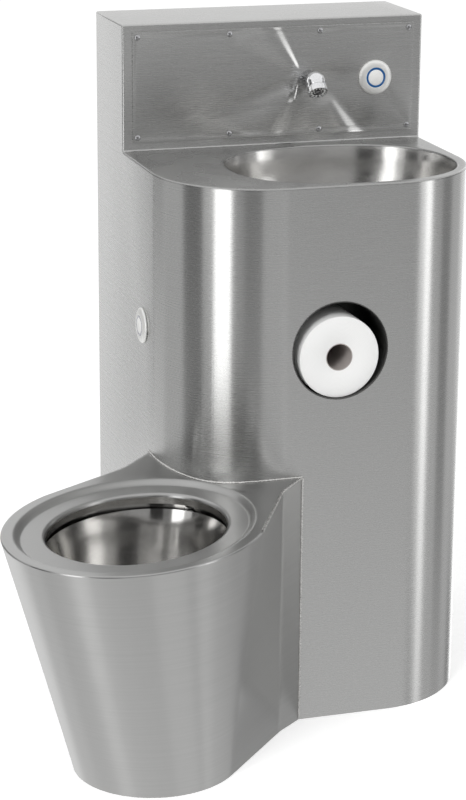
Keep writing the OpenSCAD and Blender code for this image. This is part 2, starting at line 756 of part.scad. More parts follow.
module pan_deck() color(satin) {
    top = pan_h - pan_sheet;
    difference() {
        in_pan() translate([0, 0, top]) linear_extrude(pan_sheet) polygon(top_line(0));
        cabinet_plan(top - eps, pan_sheet + 2 * eps);
        in_pan() pan_oval(rim_mid, recess_a, recess_b, top - eps, pan_sheet + 2 * eps);
    }
    in_pan() difference() {
        pan_oval(rim_mid, recess_a, recess_b, under_seat, pan_h - under_seat);
        pan_oval(rim_mid, recess_a - pan_sheet, recess_b - pan_sheet, seat_z, recess_deep + eps);
        pan_oval(bowl_mid, bowl_a, bowl_b, under_seat - eps, pan_sheet + 2 * eps);
    }
}

module pan_bowl() color(polished) in_pan() difference() {
    bowl(pan_rows, bowl_sheet, bowl_lip, bowl_k);
    translate([0, 0, flush_pipe_z]) rotate([0, 90, 0])
        cylinder(r = flush_pipe_r + fit, h = bowl_mid - bowl_a);
}

module flushing_rim() color(polished) in_pan() difference() {
    pan_oval(bowl_mid, bowl_a + bowl_sheet, bowl_b + bowl_sheet, lip_z, lip_h);
    pan_oval(bowl_mid, bowl_a, bowl_b, lip_z - eps, lip_h + 2 * eps);
}

u_bend_r = soil_r + 9;
up_bend_r = soil_r + 14;
u_bend_z = soil_r + u_bend_r + 1;
soil_bend_r = soil_r + 24;
module pan_trap() color(steel) {
    rise = soil_h - up_bend_r;
    back_x = outlet_x - 2 * u_bend_r;
    in_pan() {
        translate([outlet_x, 0, u_bend_z]) tube(soil_r, soil_t, outlet_h - bowl_sheet - u_bend_z);
        translate([outlet_x - u_bend_r, 0, u_bend_z]) rotate([90, 0, 0]) rotate([0, 0, 180])
            pipe_bend(soil_r, soil_t, u_bend_r, 180);
        translate([back_x, 0, u_bend_z]) tube(soil_r, soil_t, rise - u_bend_z);
        translate([back_x - up_bend_r, 0, rise]) rotate([90, 0, 0])
            pipe_bend(soil_r, soil_t, up_bend_r, 90);
        translate([bend_start(soil_bend_r), 0, soil_h]) rotate([0, 90, 0])
            tube(soil_r, soil_t, back_x - up_bend_r - bend_start(soil_bend_r));
        translate([bend_start(soil_bend_r), -soil_bend_r, soil_h]) rotate([0, 0, 90])
            pipe_bend(soil_r, soil_t, soil_bend_r, pan_turn);
    }
}

// Straight run from the trap's last bend to the wall
module soil_pipe() color(steel) translate([pipe_x, 0, soil_h]) facing_front()
    tube(soil_r, soil_t, -bend_end(soil_bend_r)[1]);

// Water lines: [x, outside radius of the line, radius of the threaded socket]
supply_z = counter_h + supply_up;
wash_line = [spout_x, tail_r, wash_socket_r];
flush_line = [pipe_x, flush_pipe_r, flush_socket_r];
lines = [wash_line, flush_line];
function inlet_r(socket_r) = socket_r + 4;
stub_l = 30;
valve_back = stub_l + stop_l;
valve_front = valve_back + valve_l;
joint_l = 12;
tail_l = panel_face - valve_front - 2;
top_bend_r = flush_pipe_r + 14;
riser_out = valve_front + joint_l + top_bend_r;
low_bend_r = flush_pipe_r + 29;
flush_bend_r = flush_pipe_r + 49;

module flush_pipe() color(steel) {
    drop_top = supply_z - top_bend_r;
    drop_end = flush_pipe_z + low_bend_r;
    r = flush_pipe_r;
    t = flush_pipe_t;
    translate([pipe_x, -valve_front - 2, supply_z]) facing_front() tube(r, t, joint_l - 2);
    translate([pipe_x, -valve_front - joint_l, drop_top]) rotate([0, -90, 0])
        rotate([0, 0, -90]) pipe_bend(r, t, top_bend_r, 90);
    translate([pipe_x, -riser_out, drop_end]) tube(r, t, drop_top - drop_end);
    translate([pipe_x, -riser_out - low_bend_r, drop_end]) rotate([0, -90, 0])
        rotate([0, 0, 90]) pipe_bend(r, t, low_bend_r, 90);
    translate([pipe_x, -riser_out - low_bend_r, flush_pipe_z]) facing_front()
        tube(r, t, -bend_end(flush_bend_r)[1] - riser_out - low_bend_r);
}

// Last run of the flush pipe, through the corner into the rim's channel
module flush_elbow() color(steel) in_pan() {
    start = bend_start(flush_bend_r);
    translate([start, -flush_bend_r, flush_pipe_z]) rotate([0, 0, 90])
        pipe_bend(flush_pipe_r, flush_pipe_t, flush_bend_r, pan_turn);
    translate([start, 0, flush_pipe_z]) rotate([0, 90, 0])
        tube(flush_pipe_r, flush_pipe_t, bowl_mid - bowl_a - channel_w + 8 - start);
}

// Solenoid valves, built with the line along -Y and the valve's back at y 0
core_r = 6.5;
core_cap = 3;
plunger_r = 5;
plunger_l = 28;
plunger_low = 9;
spring_l = plunger_lift + 5;
bore_top = plunger_low + plunger_l + spring_l;
block_h = valve_w - 4;
core_l = bore_top + core_cap - block_h / 2;
coil_r = 15;

module at_valve(line) { translate([line[0], -valve_back, supply_z]) children(); }
module at_core(line, z) { at_valve(line) translate([0, -valve_l / 2, z]) children(); }

module valve_body(line) color(brass) {
    at_valve(line) difference() {
        union() {
            translate([-valve_w / 2, -valve_l, -block_h / 2]) cube([valve_w, valve_l, block_h]);
            translate([0, -valve_l, 0]) facing_front() cylinder(r = line[1] + 3, h = joint_l);
            translate([0, -valve_l / 2, block_h / 2]) cylinder(r = core_r, h = core_l);
        }
        translate([0, eps, 0]) facing_front() cylinder(r = line[1] - 3, h = valve_l);
        translate([0, -valve_l - 2, 0]) facing_front() cylinder(r = line[1] + fit, h = joint_l);
        translate([0, -valve_l + 2, 0]) facing_front() cylinder(r = line[1] - 3, h = joint_l);
        translate([0, -valve_l / 2, 0]) cylinder(r = plunger_r + fit, h = bore_top);
    }
}

module coil(line) color(black) at_core(line, block_h / 2) difference() {
    union() {
        cylinder(r = coil_r, h = core_l - 6);
        translate([-6, 0, 4]) cube([12, coil_r + 8, core_l - 14]);
    }
    translate([0, 0, -eps]) cylinder(r = core_r + fit, h = core_l);
}

module plunger(line) color(steel) at_core(line, plunger_low)
    cylinder(r = plunger_r, h = plunger_l);

module plunger_spring(line) color(steel) at_core(line, plunger_low + plunger_l)
    tube(3.8, 1, spring_l);

// Stop valves, built with the inlet's face at y 0
ball_bore = 7;
stem_turn_r = 4;
function ball_r(line) = line[1] + 1;
function stop_r(line) = line[1] + 6;
boss_h = 3;
function lever_z(line) = stop_r(line) + boss_h + 0.6;

module at_stop(line) { translate([line[0], -stub_l - stop_l / 2, supply_z]) children(); }

module stop_valve(line) color(brass) translate([line[0], 0, supply_z]) difference() {
    mid = -stub_l - stop_l / 2;
    union() {
        facing_front() cylinder(r = inlet_r(line[2]), h = stub_l);
        translate([0, -stub_l, 0]) facing_front() cylinder(r = stop_r(line), h = stop_l);
        translate([0, mid, 0]) cylinder(r = stem_turn_r + 4, h = stop_r(line) + boss_h);
    }
    translate([0, eps, 0]) facing_front() cylinder(r = line[2], h = socket_deep + eps);
    facing_front() cylinder(r = ball_bore, h = valve_back + eps);
    translate([0, mid, 0]) sphere(r = ball_r(line) + 0.4);
    translate([0, mid, 0]) cylinder(r = stem_turn_r + fit, h = stop_r(line) + boss_h + eps);
}

module stop_ball(line) color(chrome) at_stop(line) difference() {
    union() {
        sphere(r = ball_r(line));
        cylinder(r = stem_turn_r, h = lever_z(line) + 3);
    }
    translate([0, ball_r(line) + eps, 0]) facing_front()
        cylinder(r = ball_bore, h = 2 * ball_r(line) + 2 * eps);
}

module lever(line) color(blue) at_stop(line) translate([0, 0, lever_z(line)]) difference() {
    union() {
        cylinder(r = 7.5, h = 3);
        translate([-6, 0, 0]) cube([12, lever_l, 3]);
    }
    translate([0, 0, -eps]) cylinder(r = stem_turn_r, h = 3 + 2 * eps);
}

module wash_valve() valve_body(wash_line);
module wash_coil() coil(wash_line);
module wash_plunger() plunger(wash_line);
module wash_spring() plunger_spring(wash_line);
module flush_valve() valve_body(flush_line);
module flush_coil() coil(flush_line);
module flush_plunger() plunger(flush_line);
module flush_spring() plunger_spring(flush_line);
module wash_stop() stop_valve(wash_line);
module wash_ball() stop_ball(wash_line);
module wash_lever() lever(wash_line);
module flush_stop() stop_valve(flush_line);
module flush_ball() stop_ball(flush_line);
module flush_lever() lever(flush_line);

// Control box on the rear plate, at the left of the splash box
control_clear = 52;         // room above and below the box
control_w = 76;
control_d = 60;
control_h = splash_h - 2 * control_clear;
control_wall = 2;
control_gap = 10;
control_x = control_gap - in_w;
control_z = counter_h + control_clear;

module control_box() color(grey) translate([control_x, -sheet - control_d, control_z]) {
    difference() {
        cube([control_w, control_d, control_h]);
        translate([control_wall, -eps, control_wall]) cube([control_w - 2 * control_wall,
            control_d - control_wall + eps, control_h - 2 * control_wall]);
        translate([control_w / 2, control_d / 2, -eps]) cylinder(r = 6, h = control_wall + 2 * eps);
    }
    for (x = [12, control_w - 12], z = [14, control_h - 14])
        translate([x, control_d - control_wall, z]) facing_front() cylinder(r = 3, h = 10);
}

module control_board() color("darkgreen")
    translate([control_x + 8, -sheet - control_wall - 12, control_z + 8])
        cube([control_w - 16, 2, control_h - 16]);

module control_lid() color(grey)
    translate([control_x, -sheet - control_d - control_wall, control_z])
        cube([control_w, control_wall, control_h]);

body_wrap();
splash_box();
counter_top();
rear_plate();
tie_rails();
basin_bowl();
basin_waste();
waste_nuts();
bottle_trap();
trap_cup();
basin_waste_pipe();
access_panel();
panel_gasket();
panel_screws();
panel_inserts();
spout_body();
spout_aerator();
spout_washer();
spout_nut();
wash_bezel();
wash_ring();
wash_cap();
wash_barrel();
wash_seal();
wash_nut();
flush_bezel();
flush_ring();
flush_cap();
flush_barrel();
flush_seal();
flush_nut();
niche_tube();
niche_back();
roll_paper();
roll_core();
pan_skirt();
pan_deck();
pan_bowl();
flushing_rim();
pan_trap();
soil_pipe();
flush_pipe();
flush_elbow();
wash_valve();
wash_coil();
wash_plunger();
wash_spring();
flush_valve();
flush_coil();
flush_plunger();
flush_spring();
wash_stop();
wash_ball();
wash_lever();
flush_stop();
flush_ball();
flush_lever();
control_box();
control_lid();
control_board();
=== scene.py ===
# Stainless steel toilet and basin combination unit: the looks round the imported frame.
# Lengths are in millimetres until a piece's mesh is made, which is in metres, as are the
# places of the lamp and the camera.
import json
import math

import bmesh
import bpy
from mathutils import Matrix, Vector


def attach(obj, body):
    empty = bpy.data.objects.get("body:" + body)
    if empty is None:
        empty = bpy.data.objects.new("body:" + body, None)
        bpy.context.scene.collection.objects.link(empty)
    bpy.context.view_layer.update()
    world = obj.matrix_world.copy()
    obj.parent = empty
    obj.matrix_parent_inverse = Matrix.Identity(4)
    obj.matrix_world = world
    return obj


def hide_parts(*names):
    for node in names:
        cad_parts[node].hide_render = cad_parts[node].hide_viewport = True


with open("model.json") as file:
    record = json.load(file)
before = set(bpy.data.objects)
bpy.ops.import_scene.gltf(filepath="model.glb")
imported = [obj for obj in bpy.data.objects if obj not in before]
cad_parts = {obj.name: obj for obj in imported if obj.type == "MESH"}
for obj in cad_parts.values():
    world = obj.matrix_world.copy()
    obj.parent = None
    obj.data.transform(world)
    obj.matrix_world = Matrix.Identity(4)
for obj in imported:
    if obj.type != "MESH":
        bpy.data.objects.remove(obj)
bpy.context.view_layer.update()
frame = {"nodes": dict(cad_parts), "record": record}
scene = bpy.context.scene
mm = 0.001
mergeWithin = 2e-6
print("frame loaded")


# Small helpers: outlines, lofts, lathes and placing

def arc(centre, radius, start, end, steps):
    angles = [math.radians(start + (end - start) * i / steps) for i in range(steps + 1)]
    return [(centre[0] + radius * math.cos(a), centre[1] + radius * math.sin(a)) for a in angles]


def fullTurn(steps):
    return [2 * math.pi * i / steps for i in range(steps)]


def circle(x, y, radius, steps=48):
    return [(x + radius * math.cos(a), y + radius * math.sin(a)) for a in fullTurn(steps)]


def rectangle(x0, x1, y0, y1):
    return [(x0, y0), (x1, y0), (x1, y1), (x0, y1)]


def superellipse(a, b, n, count):
    points = []
    for turn in fullTurn(count):
        c, s = math.cos(turn), math.sin(turn)
        points.append((a * math.copysign(abs(c) ** (2 / n), c),
                       b * math.copysign(abs(s) ** (2 / n), s)))
    return points


def smooth(t):
    t = min(1.0, max(0.0, t))
    return t * t * (3 - 2 * t)


def smoothRows(rows, parts):
    # Catmull-Rom between rows of equally many values
    result = []
    for j in range(len(rows) - 1):
        p0, p1, p2, p3 = rows[max(0, j - 1)], rows[j], rows[j + 1], rows[min(len(rows) - 1, j + 2)]
        for i in range(parts):
            t = i / parts
            result.append([0.5 * (2 * b + (c - a) * t + (2 * a - 5 * b + 4 * c - d) * t * t
                                  + (3 * b - a - 3 * c + d) * t ** 3)
                           for a, b, c, d in zip(p0, p1, p2, p3)])
    return result + [rows[-1]]


def loft(rows, closed=False):
    # quads between rows of equally many points; closed joins each row's ends
    count = len(rows[0])
    points = [p for row in rows for p in row]
    faces = []
    for j in range(len(rows) - 1):
        for i in range(count if closed else count - 1):
            k = (i + 1) % count
            faces.append((j * count + i, j * count + k, (j + 1) * count + k, (j + 1) * count + i))
    return points, faces


def ring(radius, z, steps):
    return [(x, y, z) for x, y in circle(0, 0, radius, steps)]


def lathe(profile, steps=96):
    # profile is a list of (radius, height), turned round +Z
    return loft([ring(r, z, steps) for r, z in profile], closed=True)


def joinParts(*parts):
    points, faces = [], []
    for morePoints, moreFaces in parts:
        base = len(points)
        points += morePoints
        faces += [tuple(i + base for i in face) for face in moreFaces]
    return points, faces


facingFront = Matrix.Rotation(math.radians(90), 4, "X")
facingLeft = Matrix.Rotation(math.radians(-90), 4, "Y")
facingRight = Matrix.Rotation(math.radians(90), 4, "Y")


def at(x, y, z, turn=None):
    return Matrix.Translation((x, y, z)) @ (turn or Matrix())


def inMetres(place):
    return Matrix.Scale(mm, 4) @ place @ Matrix.Scale(1000, 4)


def addObject(name, data):
    obj = bpy.data.objects.new(name, data)
    scene.collection.objects.link(obj)
    return obj


def meshFrom(shape, name):
    mesh = bpy.data.meshes.new(name)
    shape.to_mesh(mesh)
    shape.free()
    return mesh


def makePiece(name, parts, place=None, away=None, toward=None):
    # away and toward are points that the faces of an open sheet turn from or to
    points, faces = parts
    place = place or Matrix()
    shape = bmesh.new()
    verts = [shape.verts.new((place @ Vector(p)) * mm) for p in points]
    for face in faces:
        shape.faces.new([verts[i] for i in face])
    bmesh.ops.remove_doubles(shape, verts=shape.verts, dist=mergeWithin)
    bmesh.ops.dissolve_degenerate(shape, edges=shape.edges, dist=mergeWithin / 2)
    bmesh.ops.recalc_face_normals(shape, faces=shape.faces)
    if away or toward:
        shape.normal_update()
        mark = Vector(away or toward) * mm
        lean = sum(f.normal.dot(f.calc_center_median() - mark) * f.calc_area() for f in shape.faces)
        if (lean < 0) == bool(away):
            bmesh.ops.reverse_faces(shape, faces=shape.faces)
    return addObject(name, meshFrom(shape, name))


def plainMesh(obj):
    bpy.context.view_layer.update()
    graph = bpy.context.evaluated_depsgraph_get()
    return bpy.data.meshes.new_from_object(obj.evaluated_get(graph))


def settle(obj):
    # turns the modifiers into plain mesh
    mesh = plainMesh(obj)
    obj.modifiers.clear()
    obj.data = mesh
    return obj


def addModifier(obj, kind, **settings):
    modifier = obj.modifiers.new(kind.lower(), kind)
    for key, value in settings.items():
        setattr(modifier, key, value)
    return modifier


def thicken(obj, thickness):
    addModifier(obj, "SOLIDIFY", thickness=thickness * mm, offset=-1, use_even_offset=True)
    return settle(obj)


def cutAway(obj, *tools):
    for tool in tools:
        addModifier(obj, "BOOLEAN", operation="DIFFERENCE", solver="EXACT", object=tool)
    settle(obj)
    for tool in tools:
        bpy.data.objects.remove(tool)
    return obj


def rod(radius, length, place, steps=96):
    # a closed round tool for cutting, along the place's +Z
    return makePiece("rod", lathe([(0, 0), (radius, 0), (radius, length), (0, length)], steps), place)


def softEdges(obj, width, limit=40):
    # a small radius on each sharp edge, with the flats kept flat
    obj.data.shade_smooth()
    addModifier(obj, "BEVEL", width=width * mm, segments=2, limit_method="ANGLE",
                angle_limit=math.radians(limit), harden_normals=True, use_clamp_overlap=True)
    return settle(obj)


def smoothByAngle(obj, limit=38):
    obj.data.shade_smooth()
    obj.data.set_sharp_from_angle(angle=math.radians(limit))
    return obj


def joinPieces(name, *pieces):
    shape = bmesh.new()
    for piece in pieces:
        shape.from_mesh(piece.data)
    for piece in pieces:
        bpy.data.objects.remove(piece)
    return addObject(name, meshFrom(shape, name))


def plate(name, outline, holes, thickness, place, edge=0.3):
    # flat sheet with holes, filled from its outlines, with a small edge radius
    curve = bpy.data.curves.new(name, "CURVE")
    curve.dimensions = "2D"
    curve.fill_mode = "BOTH"
    curve.extrude = thickness / 2 - edge
    curve.bevel_depth = edge
    curve.bevel_resolution = 2
    curve.offset = -edge
    for line in [outline] + holes:
        spline = curve.splines.new("POLY")
        spline.points.add(len(line) - 1)
        for point, (x, y) in zip(spline.points, line):
            point.co = (x, y, 0, 1)
        spline.use_cyclic_u = True
    drawn = addObject(name, curve)
    flat = plainMesh(drawn)
    bpy.data.objects.remove(drawn)
    flat.transform(Matrix.Scale(mm, 4) @ place @ Matrix.Translation((0, 0, thickness / 2)))
    shape = bmesh.new()
    shape.from_mesh(flat)
    bmesh.ops.remove_doubles(shape, verts=shape.verts, dist=mergeWithin)
    bmesh.ops.recalc_face_normals(shape, faces=shape.faces)
    return smoothByAngle(addObject(name, meshFrom(shape, name)), 30)


def finishPiece(obj, material, body, slot, *nodes):
    obj.data.materials.clear()
    obj.data.materials.append(material)
    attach(obj, body)
    if nodes:
        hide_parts(*nodes)
    return obj


# Materials

def linearColour(text):
    # sRGB hex to the linear values that shader sockets take
    parts = [int(text[i:i + 2], 16) / 255 for i in (0, 2, 4)]
    return [c / 12.92 if c <= 0.04045 else ((c + 0.055) / 1.055) ** 2.4 for c in parts] + [1.0]


def setInputs(tree, node, inputs):
    # an input takes a value, a socket, or a node, which stands for its first output
    for key, value in inputs.items():
        if isinstance(value, bpy.types.Node):
            value = value.outputs[0]
        if isinstance(value, bpy.types.NodeSocket):
            tree.links.new(value, node.inputs[key])
        else:
            node.inputs[key].default_value = value
    return node


def addNode(tree, kind, inputs=None, **settings):
    node = tree.nodes.new(kind)
    for key, value in settings.items():
        setattr(node, key, value)
    return setInputs(tree, node, inputs or {})


def newMaterial(name, colour, metallic, roughness, **sockets):
    material = bpy.data.materials.new(name)
    material.use_nodes = True
    tree = material.node_tree
    more = {key.replace("_", " "): value for key, value in sockets.items()}
    shader = setInputs(tree, tree.nodes["Principled BSDF"],
                       {"Base Color": linearColour(colour), "Metallic": metallic,
                        "Roughness": roughness, **more})
    return material, tree, shader


def grainNoise(tree, along, across, detail=3.0):
    # noise whose marks are along mm long and wide, and across mm high
    coords = addNode(tree, "ShaderNodeTexCoord")
    scale = (1000 / along, 1000 / along, 1000 / across)
    stretch = addNode(tree, "ShaderNodeMapping", {"Vector": coords.outputs["Object"], "Scale": scale})
    return addNode(tree, "ShaderNodeTexNoise",
                   {"Vector": stretch, "Scale": 1.0, "Detail": detail, "Roughness": 0.6})


def patterned(tree, marks, low, high, dull, depth, under=None):
    # one pattern drives the colour, the roughness and the relief together, by its middle range
    ramp = addNode(tree, "ShaderNodeValToRGB", {"Fac": marks})
    for stop, place, colour in zip(ramp.color_ramp.elements, (0.3, 0.7), (low, high)):
        stop.position = place
        stop.color = linearColour(colour)
    rough = addNode(tree, "ShaderNodeMapRange", {"Value": marks, "From Min": 0.3, "From Max": 0.7,
                                                 "To Min": dull[0], "To Max": dull[1]})
    relief = addNode(tree, "ShaderNodeBump", {"Height": marks, "Distance": depth * mm})
    if under:
        setInputs(tree, relief, {"Normal": under})
    return {"Base Color": ramp, "Roughness": rough, "Normal": relief}


def satinSteel(name, low, high, roughness, anisotropic, grain, wave, waveDepth):
    # ground stainless sheet: the horizontal grain draws each reflection out up and down
    material, tree, shader = newMaterial(name, high, 1.0, roughness, Anisotropic=anisotropic)
    # a grinding line is 60 times as long as it is wide
    lines = grainNoise(tree, grain * 60, grain, 1.0)
    waves = addNode(tree, "ShaderNodeBump", {"Height": grainNoise(tree, wave, wave * 2.2, 1.0),
                                             "Distance": waveDepth * mm})
    # upright on walls and towards the wall on flat tops
    upright = addNode(tree, "ShaderNodeCombineXYZ", {"X": 0.0, "Y": 0.1, "Z": 1.0})
    looks = patterned(tree, lines, low, high, (roughness - 0.02, roughness + 0.02), 0.0015, waves)
    setInputs(tree, shader, {**looks, "Tangent": upright})
    return material


def metal(name, low, high, roughness, along, across, depth, metallic=1.0, swing=(0.8, 1.25),
          **sockets):
    # marks are along by across mm, and swing gives the roughness at their ends as shares of it
    material, tree, shader = newMaterial(name, high, metallic, roughness, **sockets)
    dull = [roughness * share for share in swing]
    marks = grainNoise(tree, along, across)
    setInputs(tree, shader, patterned(tree, marks, low, high, dull, depth))
    return material


def moulded(name, low, high, roughness, pebble, depth, **sockets):
    return metal(name, low, high, roughness, pebble, pebble, depth, 0.0, (0.85, 1.15), **sockets)


def creaseHeight(tree, start, end, wide, slope):
    # height of a fold in the sheet from start to end, which are (x, z) in mm; it rises slowly
    # over three widths and falls at the slope over one; wide and slope are given for both ends
    length = math.dist(start, end) * mm
    along = [(b - a) * mm / length for a, b in zip(start, end)]
    across = (along[1], -along[0]) if along[1] > 0 else (-along[1], along[0])
    coords = addNode(tree, "ShaderNodeTexCoord")
    near = addNode(tree, "ShaderNodeVectorMath",
                   {0: coords.outputs["Object"], 1: (start[0] * mm, 0, start[1] * mm)},
                   operation="SUBTRACT")
    ahead, aside = [addNode(tree, "ShaderNodeVectorMath", {0: near, 1: (way[0], 0, way[1])},
                            operation="DOT_PRODUCT").outputs["Value"] for way in (along, across)]
    run = addNode(tree, "ShaderNodeMath", {0: ahead, 1: length}, operation="DIVIDE")
    height = width = addNode(tree, "ShaderNodeMapRange",
                             {"Value": run, "To Min": wide[0] * mm, "To Max": wide[1] * mm})
    share = addNode(tree, "ShaderNodeMath", {0: aside, 1: width}, operation="DIVIDE")
    # a smooth step is 1.5 times as steep in its middle as on the whole
    steep = [value / 1.5 for value in slope]
    # the height is the width times the rise, the fall, the slope and both faded ends
    for value, low, high, first, last, kind in (
            (share, -3, -0.5, 0, 1, "SMOOTHSTEP"), (share, -0.5, 0.5, 1, 0, "SMOOTHSTEP"),
            (run, 0, 1, *steep, "LINEAR"), (run, -0.06, 0.2, 0, 1, "SMOOTHSTEP"),
            (run, 1.0, 1.3, 1, 0, "SMOOTHSTEP")):
        factor = addNode(tree, "ShaderNodeMapRange",
                         {"Value": value, "From Min": low, "From Max": high, "To Min": first,
                          "To Max": last}, interpolation_type=kind)
        height = addNode(tree, "ShaderNodeMath", {0: height, 1: factor}, operation="MULTIPLY")
    return height


def addCreases(material, creases):
    tree = material.node_tree
    shader = tree.nodes["Principled BSDF"]
    total, *others = [creaseHeight(tree, **values) for values in creases.values()]
    for height in others:
        total = addNode(tree, "ShaderNodeMath", {0: total, 1: height}, operation="ADD")
    under = shader.inputs["Normal"].links[0].from_socket
    folded = addNode(tree, "ShaderNodeBump", {"Height": total, "Distance": 1.0, "Normal": under})
    setInputs(tree, shader, {"Normal": folded})


# Ground sheet smears reflections along its height; grit 240 lines are 0.1 mm apart, too
# fine to show, so they are drawn 1.2 mm apart
groundSteel = satinSteel("stainlessSatinGround", "C4C4C3", "C6C6C5", 0.27, 0.9, 1.2, 160, 0.2)
# The pan's sheet was ground by hand, in wider bands
panSteel = satinSteel("stainlessSatinPan", "B0B0AF", "B5B5B4", 0.30, 0.85, 3.5, 180, 0.2)
# The counter is the ground sheet painted a shade darker: painted shade on the counter top
counterShadedSteel = satinSteel("stainlessSatinDulled", "ABABAA", "AFAFAE", 0.27, 0.9, 1.2, 160, 0.2)
# The access panel is the cabinet's sheet, with faint creases that run out from the spout
panelSteel = satinSteel("stainlessSatinCreased", "C4C4C3", "C6C6C5", 0.27, 0.9, 1.2, 160, 0.2)
addCreases(panelSteel, {
    "overSpout": {"start": (44, 964), "end": (-2, 1045), "wide": (5, 26), "slope": (0.38, 0.245)},
    "besideSpout": {"start": (42, 962), "end": (35, 928), "wide": (2.4, 3), "slope": (0.37, 0.24)},
    "downLeft": {"start": (36, 940), "end": (-2, 850), "wide": (9, 38), "slope": (0.2, 0.27)},
    "downRight": {"start": (88, 932), "end": (146, 852), "wide": (13, 38), "slope": (0.25, 0.38)}})
# Mill finish is duller, with no line to it
millSteel = metal("stainlessMillFinish", "A8A8A6", "BDBDBB", 0.38, 6, 6, 0.02)
# The niche's steel is painted dark and dull: painted shade for the deep niche
nicheShadedSteel = metal("stainlessRolledDull", "585857", "666665", 0.42, 12, 12, 0.02)
# Pressed and buffed bowls mirror what is round them, softened a little
buffedSteel = metal("stainlessBuffed", "C8C7C5", "D2D1CF", 0.2, 60, 30, 0.12)
# The pan's bowl is buffed brighter, so its reflections are crisper
brightSteel = metal("stainlessBuffedBright", "BDBCBA", "CFCECC", 0.13, 70, 35, 0.15)
# Glass bead blasting leaves a fine even sheen
blastedSteel = metal("stainlessBeadBlasted", "F2F2F0", "F8F8F6", 0.5, 0.5, 0.5, 0.01, 0.85)
# The screw heads are painted darker than the ground sheet: painted reflection of the dark round their
# domes
screwShadedSteel = metal("stainlessColdHeaded", "A0A0A2", "B6B6B8", 0.14, 2, 1, 0.004)
# Turned magnetic steel is greyer, with fine lines from the tool
turnedSteel = metal("magneticSteelTurned", "9C9C9A", "B4B4B2", 0.3, 4, 0.6, 0.01)
# Weld metal is bright and rippled
weldMetal = metal("stainlessWeldBead", "C4C3C1", "E6E5E3", 0.25, 2.5, 2.5, 0.2)
# Chrome over polished brass is a clear mirror
brightChrome = metal("chromePlated", "E4E5E7", "EEEEF0", 0.05, 30, 30, 0.005)
# The tube's chrome is painted grey: painted shade for the dark reflections along it, and it is a little
# rougher
satinShadedChrome = metal("chromePlatedSatin", "8A8A8D", "A0A0A3", 0.16, 20, 1.5, 0.004)
# Bare brass is warm yellow, slightly rough from the casting
castBrass = metal("brassCastTurned", "B8944E", "CFAE6A", 0.32, 2, 2, 0.03)
# Seal rubber is black and dull
softRubber = moulded("rubberBlack", "161616", "222222", 0.75, 1.5, 0.02)
# Moulded nylon has a soft sheen over a fine texture
blackNylon = moulded("nylonBlackMoulded", "1B1B1C", "262627", 0.5, 1.0, 0.01)
greyNylon = moulded("nylonGreyMoulded", "55565A", "606165", 0.45, 1.0, 0.01)
# The wash ring is dyed clear through, with little gloss
ringPolycarbonate = moulded("polycarbonateBlueRing", "00508C", "005C9C", 0.45, 3, 0.004,
                            Specular_IOR_Level=0.25)
# The flush button's ring is clear and unlit, so it looks grey
ringClear = moulded("polycarbonateClearRing", "8C8D98", "9A9BA5", 0.25, 3, 0.004, Coat_Weight=0.5)
# The caps are pale and smooth
capPolycarbonate = moulded("polycarbonatePaleCap", "E8E8E6", "F0F0EE", 0.35, 2, 0.004)
# Dipped vinyl lies on a lever like thick gloss paint
dippedVinyl = moulded("vinylDippedBlue", "12407E", "1A4B8C", 0.3, 5, 0.05, Coat_Weight=0.3)
# Spark eroded moulds give ABS housings an even matt grain
greyAbs = moulded("absGreyMoulded", "A2A5A7", "ACAFB1", 0.48, 0.8, 0.015)
# Solder mask makes the board green and glossy
greenLaminate = moulded("glassEpoxyGreen", "14502E", "1B5E38", 0.4, 2.5, 0.01, Coat_Weight=0.4)
print("materials made")


# Outer skin of the cabinet: one folded sheet, the counter and the splash box
skin = {"half": 250, "depth": 500, "corner": 165, "counter": 850, "top": 1050, "splash": 162,
        "sheet": 1.5, "fold": 3, "cornerSteps": 48, "foldSteps": 5, "return": 28, "floorReturn": 335,
        "wallBolts": (100, 780), "wallBolt": 5, "floorBolts": (-60, -280), "floorBolt": 4.5,
        "passages": ((57, 205), (14, 378)), "passageLong": 79, "frameHalf": 214,
        "frameLow": 884, "frameHigh": 1018, "face": 165}
panel = {"width": 468, "height": 174, "low": 864, "thick": 2, "back": 163, "screwHole": 2.75,
         "insertHole": 3.5, "screwXs": (-226.5, -75.5, 75.5, 226.5), "screwZs": (872, 1030)}
niche = {"x": -2.5, "z": 596.5, "r": 75, "sheet": 1.5, "deep": 110, "proud": 1}
washButton = {"x": 169.5, "z": 951.5}
flushButton = {"y": -276, "z": 597}
barrelHole = 11.05
flushPipe = {"x": -115.33, "y": -147, "hole": 14}
basin = {"x": 51, "y": -336.5, "a": 179.5, "b": 148.5, "square": 2.3, "deep": 140.5, "seat": 34,
         "hole": 26, "steps": 128, "sheet": 1.2}
panelHoles = [(x, z) for x in panel["screwXs"] for z in panel["screwZs"]]


def cabinetLine(inset, start):
    # plan from the left flank round both front corners to the right flank
    half, r = skin["half"] - inset, skin["corner"] - inset
    x = skin["half"] - skin["corner"]
    y = skin["corner"] - skin["depth"]
    return ([(-half, start)] + arc((-x, y), r, 180, 270, skin["cornerSteps"])
            + arc((x, y), r, 270, 360, skin["cornerSteps"]) + [(half, start)])


def flankFace(side):
    fold, top, counter, front = skin["fold"], skin["top"], skin["counter"], skin["splash"]
    edge = rectangle(0, skin["corner"] - skin["depth"], 0, counter - fold)[:3]
    edge += arc((-front - fold, counter + fold), 2 * fold, -90, 0, skin["foldSteps"])
    edge += [(fold - front, top - fold), (0, top - fold)]
    return [(side * skin["half"], y, z) for y, z in edge], [tuple(range(len(edge)))]


